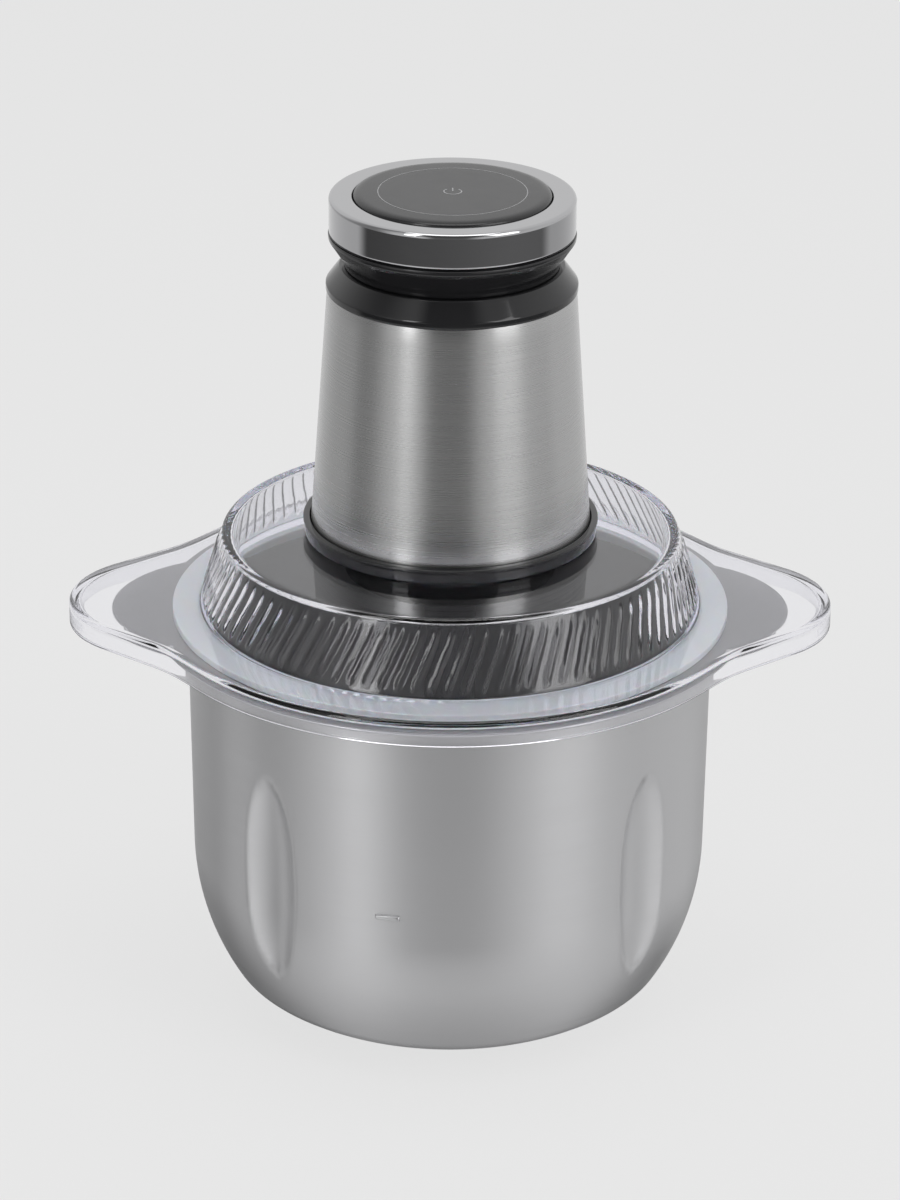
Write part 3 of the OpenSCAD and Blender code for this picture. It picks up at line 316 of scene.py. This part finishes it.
lamination = grain(principled("lamination", (0.16, 0.17, 0.19), 0.7),
    (60, 60, 2000), (0.4, 0.55), 0.00003)
enamelled_wire = grain(principled("enamelled_wire", (0.42, 0.14, 0.05), 0.6),
    (900, 900, 2400), (0.2, 0.4), 0.00006)
print("metals ready")

# %% Plastics, silicone and carbon
gloss_black = grain(principled("gloss_black", (0.013, 0.013, 0.014), Specular_IOR_Level=0.55),
    (160, 160, 160), (0.05, 0.09), 0.000002)
button_black = grain(principled("button_black", (0.020, 0.020, 0.021), Specular_IOR_Level=0.45),
    (160, 160, 160), (0.16, 0.24), 0.000002)
moulded_black = grain(principled("moulded_black", (0.045, 0.045, 0.05)),
    (700, 700, 700), (0.42, 0.6), 0.00002)
gear_plastic = grain(principled("gear_plastic", (0.72, 0.70, 0.62), Subsurface_Weight=0.08),
    (500, 500, 500), (0.35, 0.5), 0.00001)
silicone = grain(principled("milky_silicone", (0.88, 0.91, 0.95), Subsurface_Weight=0.3,
    Subsurface_Scale=0.004), (260, 260, 260), (0.3, 0.42), 0.000008)
carbon = grain(principled("carbon", (0.03, 0.03, 0.03)),
    (1500, 1500, 1500), (0.55, 0.75), 0.00003)
print_grey = grain(principled("printed_grey", (0.34, 0.34, 0.35)),
    (600, 600, 600), (0.4, 0.5), 0.000002)

clear_lid = grain(principled("clear_lid", (0.97, 0.97, 0.985), IOR=1.52, Transmission_Weight=1.0),
    (70, 70, 70), (0.008, 0.03), 0.0000012)
lid_nodes, lid_links = clear_lid.node_tree.nodes, clear_lid.node_tree.links
tint = lid_nodes.new("ShaderNodeVolumeAbsorption")
tint.inputs["Color"].default_value = (0.72, 0.70, 0.94, 1)
tint.inputs["Density"].default_value = 16
lid_links.new(tint.outputs[0], lid_nodes["Material Output"].inputs["Volume"])
print("plastics ready")

# %% [markdown]
# ## Surfaces from profiles
# Almost every skin of the chopper is turned: a closed outline in the plane of radius and
# height, carried round the axis. The outline is drawn with sharp corners, then each corner
# is replaced by an arc, as a moulder or a presser rounds it. Where a piece isn't round, such
# as a wing or a flute, the radius of each point is a function of the angle.

# %% Outline with rounded corners
def rounded(corners, steps=5):
    """Closed outline in radius and height from (r, z, fillet) corners. Each corner with a
    fillet becomes an arc: it starts and ends where the two sides touch a circle of that
    radius, and its points run along the circle between the two normals."""
    table = np.array(corners, float)
    points, fillets = table[:, :2], table[:, 2]
    out = []
    for i, (p, f) in enumerate(zip(points, fillets)):
        back, ahead = points[i - 1] - p, points[(i + 1) % len(points)] - p
        back, ahead = back / np.linalg.norm(back), ahead / np.linalg.norm(ahead)
        half_angle = np.arccos(np.clip(back @ ahead, -1, 1)) / 2
        if f <= 0 or half_angle > math.pi / 2 - 0.01:
            out.append(p[None])
            continue
        centre = p + (back + ahead) / np.linalg.norm(back + ahead) * f / np.sin(half_angle)
        a = p + back * f / np.tan(half_angle) - centre
        b = p + ahead * f / np.tan(half_angle) - centre
        turn = np.arctan2(a[0] * b[1] - a[1] * b[0], a @ b) * np.linspace(0, 1, steps + 1)
        out.append(centre + np.stack([a[0] * np.cos(turn) - a[1] * np.sin(turn),
            a[0] * np.sin(turn) + a[1] * np.cos(turn)], 1))
    return np.concatenate(out)


def denser(outline, longest):
    """Adds points to a closed outline so that no side is longer than the given length."""
    ends = np.roll(outline, -1, 0)
    parts = np.maximum(1, np.ceil(np.linalg.norm(ends - outline, axis=1) / longest)).astype(int)
    start = np.repeat(np.arange(len(outline)), parts)
    share = np.concatenate([np.arange(n) / n for n in parts])[:, None]
    return outline[start] * (1 - share) + ends[start] * share


# %% Mesh from arrays
def piece(name, points, faces, material, body, slot, replaces=(), smooth=True):
    """Puts arrays of points (metres) and faces into a mesh object that rides on a body. The
    signed volume, a sixth of the sum of each triangle's corner product, tells whether the
    faces look outwards, and turns them round if not."""
    tri = np.array([f[:3] for f in faces] + [(f[0], f[2], f[3]) for f in faces if len(f) == 4])
    a, b, c = points[tri[:, 0]], points[tri[:, 1]], points[tri[:, 2]]
    volume = float((a * np.cross(b, c)).sum() / 6)
    if volume < 0:
        faces = [f[::-1] for f in faces]
    mesh = bpy.data.meshes.new(name)
    mesh.from_pydata(points, [], faces)
    mesh.polygons.foreach_set("use_smooth", np.full(len(mesh.polygons), smooth))
    mesh.update()
    made = bpy.data.objects.new(name, mesh)
    scene.collection.objects.link(made)
    made.data.materials.append(material)
    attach(made, body)
    if replaces:
        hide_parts(*replaces)
    print(f"{name}: {len(points)} points, {len(faces)} faces, {abs(volume) * 1e6:.1f} ml")
    return made


def turned_faces(around, along):
    """Faces of a grid that closes both ways: each quad joins two neighbours round the axis
    with two neighbours along the outline."""
    i, j = np.meshgrid(np.arange(around), np.arange(along), indexing="ij")
    i2, j2 = (i + 1) % around, (j + 1) % along
    quads = np.stack([i * along + j, i2 * along + j, i2 * along + j2, i * along + j2], -1)
    return quads.reshape(-1, 4).tolist()


def turned(outline, around, radius_of=None):
    """Carries a closed outline (mm) round the axis. Point (i, j) lies at angle i on the
    outline's point j, with radius r or radius_of(angle, r, z)."""
    angle = np.arange(around) * 2 * math.pi / around
    r = np.broadcast_to(outline[None, :, 0], (around, len(outline)))
    z = np.broadcast_to(outline[None, :, 1], r.shape)
    if radius_of is not None:
        r = radius_of(angle[:, None], r, z)
    points = np.stack([r * np.cos(angle)[:, None], r * np.sin(angle)[:, None], z], -1) * MM
    return points.reshape(-1, 3), turned_faces(around, len(outline))


def solid_turned(outline, around):
    """Carries an open outline (mm) that starts and ends on the axis round that axis. The two
    ends are one point each, joined to their neighbours by triangles."""
    ring = outline[1:-1]
    along = len(ring)
    angle = np.arange(around) * 2 * math.pi / around
    body_points = np.stack([ring[None, :, 0] * np.cos(angle)[:, None],
        ring[None, :, 0] * np.sin(angle)[:, None],
        np.broadcast_to(ring[None, :, 1], (around, along))], -1).reshape(-1, 3)
    points = np.concatenate([body_points, [[0, 0, outline[0, 1]], [0, 0, outline[-1, 1]]]]) * MM
    i, j = np.meshgrid(np.arange(around), np.arange(along - 1), indexing="ij")
    i2 = (i + 1) % around
    quads = np.stack([i * along + j, i2 * along + j, i2 * along + j + 1, i * along + j + 1], -1)
    k = np.arange(around)
    k2 = (k + 1) % around
    low_point, high_point = np.full(around, around * along), np.full(around, around * along + 1)
    first = np.stack([k2 * along, k * along, low_point], -1)
    last = np.stack([k * along + along - 1, k2 * along + along - 1, high_point], -1)
    return points, quads.reshape(-1, 4).tolist() + first.tolist() + last.tolist()


def turned_piece(name, outline, around, material, body, slot, replaces=(), smooth=True):
    """Makes a skin by carrying a closed outline (mm) round the axis."""
    return piece(name, *turned(outline, around), material, body, slot, replaces, smooth)


# %% [markdown]
# ## Steel bowl
# The bowl is pressed from one sheet: a flat base, a low curve out to a rounded corner, a
# bellied wall and a turned-out flange with an ear on each side. Four upright flutes are
# pressed into the wall. One grid makes it all: the outline gives the section, and a function
# of angle and height pushes the wall inwards at each flute and the flange outwards at each
# ear. The three curves of the section touch each other, so their normals are shared and no
# line shows in the steel where one ends and the next begins.

# %% Bowl
BOWL_TOP, BOWL_R, SHEET = 135.2, 86.2, 1.0
FOOT_CURVE = (39.3, 53.2, 53.2)
CORNER_CURVE = (64.95, 18.44, 10.0)
BELLY_CURVE = (3.4, 55.4, 81.8)
FOOT_END, BELLY_START = math.radians(-53.6), math.radians(-31.0)
FLANGE_EDGE, FLANGE_LOW = 95.5, 134.0
FLUTE_TURN = 2.5
FLUTES = np.radians(45 + FLUTE_TURN + 90 * np.arange(4))
FLUTE_HALF_WIDTH, FLUTE_HALF_HEIGHT, FLUTE_DEPTH, FLUTE_MIDDLE = 11.0, 35.0, 3.6, 67.0
EAR_X, EAR_R = 73.0, 38.0


def section_curve(curve, start, end, count, less):
    """Points on one curve of the section: centre plus the radius, made smaller by the
    sheet's thickness for the inner face, at angles from start to end."""
    r, z, radius = curve
    t = np.linspace(start, end, count)
    return [(r + (radius - less) * math.cos(a), z + (radius - less) * math.sin(a), 0) for a in t]


def bowl_section(less):
    """Foot, corner and belly of the section from the base up, on the outer face (less 0) or
    the inner face (less = the sheet's thickness)."""
    return (section_curve(FOOT_CURVE, math.radians(-89.2), FOOT_END, 14, less)
        + section_curve(CORNER_CURVE, FOOT_END, BELLY_START, 9, less)[1:]
        + section_curve(BELLY_CURVE, BELLY_START, 0, 22, less)[1:])


def flute_push(angle, r, z):
    """Depth of the flutes. A flute is a lens seen from the side: its half width shrinks
    towards both ends like an ellipse's, and beyond them the depth is zero. The distance from
    its spine over that half width goes through a parabola that is deepest on the spine and
    leaves a crease at the edge."""
    off = np.abs((angle[..., None] - FLUTES + math.pi / 4) % (math.pi / 2) - math.pi / 4).min(-1) * r
    along = np.clip(np.abs(z - FLUTE_MIDDLE) / FLUTE_HALF_HEIGHT, 0, 1)
    lens = np.sqrt(1 - along ** 2.4)
    share = np.clip(off / (FLUTE_HALF_WIDTH * np.maximum(lens, 0.05)), 0, 1)
    return FLUTE_DEPTH * lens * (1 - share ** 2)


def ear_reach(angle, shrink):
    """Distance from the axis to the round ear's edge in a direction, by the chord formula:
    the ear's centre along the ray, plus the half chord of its circle there."""
    along = EAR_X * np.abs(np.cos(angle))
    square = (EAR_R - shrink) ** 2 - (EAR_X * np.sin(angle)) ** 2
    return np.where(square > 0, along + np.sqrt(np.maximum(square, 0)), 0)


def bowl_radius(angle, r, z):
    """Wall points move in by the flutes' depth; flange points move out to the ears' edge."""
    flange_share = np.clip((r - BOWL_R - 1) / (FLANGE_EDGE - BOWL_R - 1), 0, 1)
    edge = np.maximum(FLANGE_EDGE, ear_reach(angle, 0.0))
    return r - flute_push(angle, r, z) + flange_share * (edge - FLANGE_EDGE)


bowl_outline = denser(rounded([
    (0.4, 0, 0), (FOOT_CURVE[0], 0, 0), *bowl_section(0),
    (BOWL_R, FLANGE_LOW, 2.0), (FLANGE_EDGE, FLANGE_LOW, 0.55),
    (FLANGE_EDGE, BOWL_TOP, 0.55), (BOWL_R - SHEET, BOWL_TOP, 1.0),
    *bowl_section(SHEET)[::-1], (FOOT_CURVE[0], SHEET, 0), (0.4, SHEET, 0)], 4), 2.4)
bowl_skin = piece("bowl_skin", *turned(bowl_outline, 560, bowl_radius), bowl_steel,
    "bowl_body", "brushed_steel", ["bowl"])

# %% Satin inside and rim of the bowl, darkened as painted shade
# The wheel that brushes the wall doesn't reach the flange's top or the inside, which stay
# satin. Their steel is also a darker grey than the wall's. That grey is painted shade for the
# dim inside of the closed bowl, and the flange's top shares it. A face belongs to them when it
# looks up or towards the axis.
bowl_skin.data.materials.append(satin_shaded_steel)
face_count = len(bowl_skin.data.polygons)
face_middle, face_normal = np.empty((face_count, 3)), np.empty((face_count, 3))
bowl_skin.data.polygons.foreach_get("center", face_middle.ravel())
bowl_skin.data.polygons.foreach_get("normal", face_normal.ravel())
looks_in = (face_middle[:, :2] * face_normal[:, :2]).sum(1) < 0
looks_up = face_normal[:, 2] > 0.5
satin_shaded_faces = looks_in | looks_up
bowl_skin.data.polygons.foreach_set("material_index", satin_shaded_faces.astype(np.int32))
print("satin faces:", int(satin_shaded_faces.sum()), "of", face_count)

# %% Level dash
# A short dash stands a hair proud of the wall and marks the highest filling level. It is a
# patch of the bowl's own wall between two angles, made thicker. Its height fades towards the
# edges like a superellipse, quickly at the two ends and softly above and below.
DASH_ANGLE, DASH_HALF_ANGLE = math.radians(-103.0), 0.048
DASH_Z, DASH_HALF_HEIGHT = 64.5, 0.85
DASH_PROUD, DASH_SUNK_EDGE, DASH_ROOT = 0.9, 0.05, 0.3


def wall_r(z):
    """Outer radius of the wall: the belly's circle below its widest height, and the straight
    taper above it."""
    r, middle, radius = BELLY_CURVE
    belly = r + np.sqrt(radius ** 2 - np.minimum(z - middle, 0) ** 2)
    return belly + (BOWL_R - r - radius) * np.clip((z - middle) / (FLANGE_LOW - middle), 0, 1)


u, v = np.meshgrid(np.linspace(-1, 1, 33), np.linspace(-1, 1, 13), indexing="ij")
dash_angle = DASH_ANGLE + DASH_HALF_ANGLE * u
dash_z = DASH_Z + DASH_HALF_HEIGHT * v
rise = DASH_PROUD * np.clip(1 - np.abs(u) ** 12 - v ** 4, 0, 1) ** 0.5
dash_sheets = [np.stack([reach * np.cos(dash_angle), reach * np.sin(dash_angle), dash_z], -1)
    for reach in (wall_r(dash_z) + rise - DASH_SUNK_EDGE, wall_r(dash_z) - DASH_ROOT)]
dash_points = np.concatenate([sheet.reshape(-1, 3) for sheet in dash_sheets]) * MM
ids = np.arange(u.size).reshape(u.shape)
front = np.stack([ids[:-1, :-1], ids[1:, :-1], ids[1:, 1:], ids[:-1, 1:]], -1).reshape(-1, 4)
border = np.concatenate([ids[:, 0], ids[-1, 1:], ids[-2::-1, -1], ids[0, -2:0:-1]])
next_border = np.roll(border, -1)
around_border = np.stack([border, next_border, next_border + u.size, border + u.size], 1)
dash_faces = front.tolist() + (front[:, ::-1] + u.size).tolist() + around_border[:, ::-1].tolist()
piece("level_dash", dash_points, dash_faces, bowl_steel, "bowl_body", "brushed_steel")

# %% [markdown]
# ## Clear lid
# The lid is one clear moulding: a flat plate with a hole for the motor, a rounded rim, a
# sloping wall with slanted ribs, and a flange whose two wings are the handles. Its outline
# follows the CAD section. The ribs are part of the same surface, because clear plastic with
# separate ribs inside it would show false walls.

# %% Lid
PLATE_Z, PLATE_T, RIM_R = 164.4, 2.8, 74.4
FOOT_R, FOOT_Z, FLANGE_TOP = 82.5, 137.6, 140.1
SKIRT_LOW, SKIRT_T, FLANGE_R = 131.5, 2.4, 98.46
WING_X, WING_R, WING_SIDE, WING_ROOT_X = 92.0, 33.0, math.radians(51), 66.0
ROOT_BLEND = 5.0
RIB_COUNT, RIB_HEIGHT, RIB_HALF_WIDTH, RIB_LEAN = 96, 0.60, 0.95, math.tan(math.radians(22))
RIB_LOW, RIB_HIGH, RIB_FADE = 142.6, 160.4, 1.2
RIB_R, RIB_MIDDLE = 78.0, 151.0
WALL_END = 84.0


def flange_reach(angle, shrink):
    """Distance from the axis to the edge of flange and wings in a direction: the largest of
    the flange's circle, the wing tip's circle and the straight side that is tangent to it.
    Where flange and wing are nearly equal, a smooth maximum rounds the corner between them:
    it adds a quarter of the blend width times the squared closeness."""
    c, s = np.abs(np.cos(angle)), np.abs(np.sin(angle))
    tip_r = WING_R - shrink
    square = tip_r ** 2 - (WING_X * s) ** 2
    tip = np.where(square > 0, WING_X * c + np.sqrt(np.maximum(square, 0)), 0)
    side = (WING_X * math.cos(WING_SIDE) + tip_r) / (math.cos(WING_SIDE) * c + math.sin(WING_SIDE) * s)
    tip_x = WING_X + tip_r * math.cos(WING_SIDE)
    side = np.where((side * c < tip_x) & (side * c > WING_ROOT_X), side, 0)
    wing, flange = np.maximum(tip, side), FLANGE_R - shrink
    near = np.clip(1 - np.abs(wing - flange) / ROOT_BLEND, 0, 1)
    return np.maximum(wing, flange) + near ** 2 * ROOT_BLEND / 4


def lid_radius(angle, r, z):
    """Flange points move out to the wings' edge, and wall points out by the ribs. A rib's
    height is a half ellipse across it and fades out at its two ends."""
    outer = np.clip((r - WALL_END) / (FLANGE_R - 2 - WALL_END), 0, 1)
    reach_out = flange_reach(angle, 0) - FLANGE_R
    reach_in = flange_reach(angle, SKIRT_T) - (FLANGE_R - SKIRT_T)
    inner = (r < FLANGE_R - SKIRT_T + 0.7) & (z < FOOT_Z + 0.01)
    r2 = r + outer * np.where(inner, reach_in, reach_out)
    pitch = 2 * math.pi * RIB_R / RIB_COUNT
    turn = angle * RIB_COUNT / (2 * math.pi) - (z - RIB_MIDDLE) * RIB_LEAN / pitch
    across = ((turn % 1) - 0.5) * pitch
    end = np.clip(np.minimum(z - RIB_LOW, RIB_HIGH - z) / RIB_FADE, 0, 1)
    bump = np.sqrt(np.maximum(0, 1 - (across / RIB_HALF_WIDTH) ** 2)) * np.sqrt(end * (2 - end))
    down = (PLATE_Z - 2 - z) / (PLATE_Z - 2 - FOOT_Z)
    wall = (r > RIM_R + (FOOT_R - RIM_R) * down - 0.8) & (r < WALL_END)
    return r2 + RIB_HEIGHT * bump * wall


lid_outline = denser(rounded([
    (34.9, PLATE_Z - PLATE_T, 0.4), (34.9, PLATE_Z, 0.6), (RIM_R, PLATE_Z, 1.8),
    (81.7, FLANGE_TOP, 1.2), (FLANGE_R, FLANGE_TOP, 1.6), (FLANGE_R, SKIRT_LOW, 0.7),
    (FLANGE_R - SKIRT_T, SKIRT_LOW, 0.7), (FLANGE_R - SKIRT_T, FOOT_Z, 0.6),
    (FOOT_R - PLATE_T, FOOT_Z, 0.5), (RIM_R - PLATE_T, PLATE_Z - PLATE_T, 1.2)], 4), 1.6)
piece("lid_skin", *turned(lid_outline, 960, lid_radius), clear_lid,
    "lid_body", "clear_plastic", ["lid"])

# %% Silicone seal
seal_outline = denser(rounded([
    (78, 136.2, 0.5), (82.7, 136.2, 0.6), (82.7, 131.2, 0.6), (84.9, 131.2, 0.6),
    (84.9, 135.2, 0.3), (91, 135.2, 0.4), (91, 137.5, 0.4), (78, 137.5, 0.4)]), 2)
turned_piece("seal_skin", seal_outline, 256, silicone, "lid_body", "silicone", ["lid_seal"])

# %% [markdown]
# ## Motor head
# From below: a gloss black base ring with a low lip, a brushed steel sleeve, a gloss black
# collar with a sloping shoulder, a narrow neck that flares up to the chrome ring, and the
# button. All of them are turned, so one outline each is enough.

# %% Base ring with its spigot
base_outline = denser(rounded([
    (0.3, 149, 0), (34.6, 149, 1.2), (34.6, PLATE_Z, 0.3), (47.6, PLATE_Z, 0.5), (47.7, 168.0, 0.3),
    (48, 168.4, 0.3), (48, 169.4, 0.35), (45.9, 169.4, 0.3), (45.7, 168.8, 0), (45.2, 168.6, 0),
    (40, 168.6, 0), (0.3, 168.6, 0)]), 3)
turned_piece("base_skin", base_outline, 256, gloss_black, "motor_head", "black_satin",
    ["base_cover"])

# %% Brushed sleeve
SLEEVE_LOW, SLEEVE_HIGH, SLEEVE_T, SLEEVE_EDGE = 168.82, 247.38, 0.8, 0.2
SLEEVE_LOW_R, SLEEVE_HIGH_R = 45.4, 39.9
sleeve_outline = denser(rounded([
    (SLEEVE_LOW_R, SLEEVE_LOW, SLEEVE_EDGE), (SLEEVE_HIGH_R, SLEEVE_HIGH, SLEEVE_EDGE),
    (SLEEVE_HIGH_R - SLEEVE_T, SLEEVE_HIGH, SLEEVE_EDGE),
    (SLEEVE_LOW_R - SLEEVE_T, SLEEVE_LOW, SLEEVE_EDGE)]), 6)
turned_piece("sleeve_skin", sleeve_outline, 320, sleeve_steel, "motor_head", "sleeve_steel",
    ["motor_sleeve"])

# %% Collar and neck
COLLAR_TOP, COLLAR_R = 255.5, 40.3
collar_outline = denser(rounded([
    (33.1, 252.6, 0), (33.1, COLLAR_TOP, 0.3), (35.9, COLLAR_TOP, 0.5),
    (COLLAR_R, 249.6, 0.8), (COLLAR_R, 247.45, 0.4), (38, 247.45, 0),
    (38, 246.05, 0), (35.6, 246.05, 0), (35.6, 252.6, 0)], 8), 0.8)
turned_piece("collar_skin", collar_outline, 256, gloss_black, "motor_head", "black_gloss",
    ["collar"])

neck_outline = denser(rounded([
    (31, 250, 0), (33, 250, 0), (33, 255.58, 0), (34.3, 255.62, 0), (34.6, 257.2, 2.5),
    (39.5, 264.8, 1.0), (39.5, 266.2, 0.25), (38.5, 266.2, 0), (38.5, 266.9, 0), (37.4, 266.9, 0),
    (37.4, 275.6, 0), (35.4, 275.6, 0), (35.4, 262, 0), (31, 262, 0)], 6), 1)
turned_piece("neck_skin", neck_outline, 256, gloss_black, "motor_head", "black_gloss",
    ["head_shell"])

# %% Chrome ring
RING_LOW, RING_TOP, RING_R = 267.0, 278.3, 39.3
ring_outline = denser(rounded([
    (31.8, 276.02, 0.2), (31.8, RING_TOP, 0.5), (RING_R, RING_TOP, 1.1), (RING_R, RING_LOW, 0.3),
    (37.7, RING_LOW, 0.2), (37.7, 276.02, 0.3)], 6), 0.6)
turned_piece("ring_skin", ring_outline, 320, chrome, "motor_head", "chrome", ["chrome_ring"])

# %% Button
# The top edge is a quarter of a superellipse, a little fuller than an ellipse, because the
# disc rolls off more inwards than downwards. Below the disc a foot reaches out under the
# chrome ring.
BUTTON_R, BUTTON_TOP = 31.5, 279.45
ROLL_IN, ROLL_DOWN, ROLL_POWER = 3.1, 1.25, 2.2
roll = np.linspace(0, math.pi / 2, 6)
rolled_edge = np.stack([
    BUTTON_R - ROLL_IN + ROLL_IN * np.cos(roll) ** (2 / ROLL_POWER),
    BUTTON_TOP - ROLL_DOWN + ROLL_DOWN * np.sin(roll) ** (2 / ROLL_POWER)], 1)
button_outline = np.concatenate([
    [(0, 275.6), (27.4, 275.6), (27.5, 273.15), (33.7, 273.15), (33.7, 275.6), (BUTTON_R, 275.65)],
    rolled_edge, [(20, BUTTON_TOP), (0, BUTTON_TOP)]])
piece("button_skin", *solid_turned(button_outline, 256), button_black,
    "button", "black_gloss", ["button_disc"])

# %% [markdown]
# ## Print on the button
# The button carries a thin printed circle and a power sign, both generic. Print has next to
# no height, so each is a thin strip that stands a few hundredths of a millimetre proud.

# %% Printed circle and power sign
def strip(path_points, width, low, high):
    """Closed strip of rectangular section along an open flat path (mm). Its corners lie half
    the width to each side of the path, along the path's normal, at two heights."""
    ahead = np.gradient(path_points, axis=0)
    normal = np.stack([-ahead[:, 1], ahead[:, 0]], 1) / np.linalg.norm(ahead, axis=1)[:, None]
    left, right = path_points + normal * width / 2, path_points - normal * width / 2
    n = len(path_points)
    lines = [(left, low), (right, low), (right, high), (left, high)]
    points = np.concatenate([np.column_stack([flat, np.full(n, z)]) for flat, z in lines]) * MM
    k = np.arange(n - 1)
    sides = [np.stack([k + a * n, k + 1 + a * n, k + 1 + b * n, k + b * n], 1)
        for a, b in ((0, 1), (1, 2), (2, 3), (3, 0))]
    ends = [[0, n, 2 * n, 3 * n], [n - 1, 4 * n - 1, 3 * n - 1, 2 * n - 1]]
    return points, np.concatenate(sides).tolist() + ends


def arc(radius, start, end, count):
    """Points on a circle round the axis from one angle to another, in degrees."""
    t = np.radians(np.linspace(start, end, count))
    return np.stack([radius * np.cos(t), radius * np.sin(t)], 1)


PRINT_LOW, PRINT_HIGH = 279.38, 279.49
CIRCLE_IN_R, CIRCLE_OUT_R = 23.55, 23.8
SIGN_R, SIGN_LINE, SIGN_BAR_LOW, SIGN_BAR_HIGH = 2.8, 0.40, 0.4, 3.5
circle_outline = np.array([(CIRCLE_IN_R, PRINT_LOW), (CIRCLE_OUT_R, PRINT_LOW),
    (CIRCLE_OUT_R, PRINT_HIGH), (CIRCLE_IN_R, PRINT_HIGH)])
turned_piece("print_circle", circle_outline, 180, print_grey, "button", "black_gloss",
    smooth=False)
sign_bar = np.array([(0, SIGN_BAR_LOW), (0, 1.9), (0, SIGN_BAR_HIGH)])
for name, line in (("print_power_arc", arc(SIGN_R, -230, 50, 48)), ("print_power_bar", sign_bar)):
    piece(name, *strip(line, SIGN_LINE, PRINT_LOW, PRINT_HIGH), print_grey,
        "button", "black_gloss", smooth=False)

# %% [markdown]
# ## Finishes of the other solids
# The pieces inside keep their CAD shapes. Each gets the finish of its real material, because
# they show when the head is lifted off or the lid is taken away.

# %% Finishes of the CAD nodes
FINISHES = {
    turned_steel: ["spindle_pin", "planet_carrier", "planet_pins", "gearbox_plate", "armature_shaft",
        "housing_screws", "button_spring", "switch_stage"],
    blade_steel: ["lower_blade", "upper_blade"],
    moulded_black: ["blade_hub", "blade_spacer", "blade_grip", "drive_square", "cooling_fan",
        "motor_housing", "brush_holders", "bearing_bracket", "button_plunger", "button_guide",
        "micro_switch"],
    gear_plastic: ["ring_gear", "planet_gear_1", "planet_gear_2", "planet_gear_3"],
    brass: ["output_bushing", "sun_pinion", "commutator"],
    chrome: ["lower_bearing", "upper_bearing", "chrome_ring"],
    lamination: ["armature_core", "stator_core"],
    enamelled_wire: ["armature_winding", "field_winding"],
    carbon: ["carbon_brushes"],
    bowl_steel: ["bowl"],
    sleeve_steel: ["motor_sleeve"],
    clear_lid: ["lid"],
    silicone: ["lid_seal"],
    gloss_black: ["base_cover", "collar", "head_shell"],
    button_black: ["button_disc"],
}
for finish, names in FINISHES.items():
    for name in names:
        nodes[name].data.materials.clear()
        nodes[name].data.materials.append(finish)
print("finished nodes:", sum(len(v) for v in FINISHES.values()), "of", len(nodes))

# %% [markdown]
# ## Floor
# The floor is a wide pale sheet. Seen straight, it has the backdrop's own brightness, with
# a soft part of its real shading left in, so that the bowl still stands on its shadow. Most
# mirrored rays pass it, because the low belts of the painted room stand for what a sweep
# between soft boxes shows to the steel.

# %% Floor
FLOOR_HALF = 12.0
FLOOR_GREY, FLOOR_ROUGHNESS = 0.72, 0.9
GLOW_SHARE, MIRROR_PASS_SHARE = 0.86, 0.9

floor_mesh = bpy.data.meshes.new("floor")
floor_mesh.from_pydata([(-FLOOR_HALF, -FLOOR_HALF, 0), (FLOOR_HALF, -FLOOR_HALF, 0),
    (FLOOR_HALF, FLOOR_HALF, 0), (-FLOOR_HALF, FLOOR_HALF, 0)], [], [(0, 1, 2, 3)])
floor = bpy.data.objects.new("floor", floor_mesh)
scene.collection.objects.link(floor)
floor_paper = bpy.data.materials.new("floor_paper")
floor_paper.use_nodes = True
floor_tree = floor_paper.node_tree
paper = floor_tree.nodes["Principled BSDF"]
paper.inputs["Base Color"].default_value = (FLOOR_GREY, FLOOR_GREY, FLOOR_GREY, 1)
paper.inputs["Roughness"].default_value = FLOOR_ROUGHNESS
glow = floor_tree.nodes.new("ShaderNodeEmission")
glow.inputs["Color"].default_value = PALE
glow.inputs["Strength"].default_value = 1
view_path = floor_tree.nodes.new("ShaderNodeLightPath")
any_view = node_math(floor_tree, "MAXIMUM",
    view_path.outputs["Is Camera Ray"], view_path.outputs["Is Transmission Ray"])
glow_share = node_math(floor_tree, "MULTIPLY", any_view, GLOW_SHARE)
seen_floor = node_mix(floor_tree, glow_share, paper.outputs[0], glow.outputs[0])
clear_way = floor_tree.nodes.new("ShaderNodeBsdfTransparent")
pass_share = node_math(floor_tree, "MULTIPLY", view_path.outputs["Is Glossy Ray"], MIRROR_PASS_SHARE)
floor_tree.links.new(node_mix(floor_tree, pass_share, seen_floor, clear_way.outputs[0]),
    floor_tree.nodes["Material Output"].inputs["Surface"])
floor.data.materials.append(floor_paper)
print("floor ready")
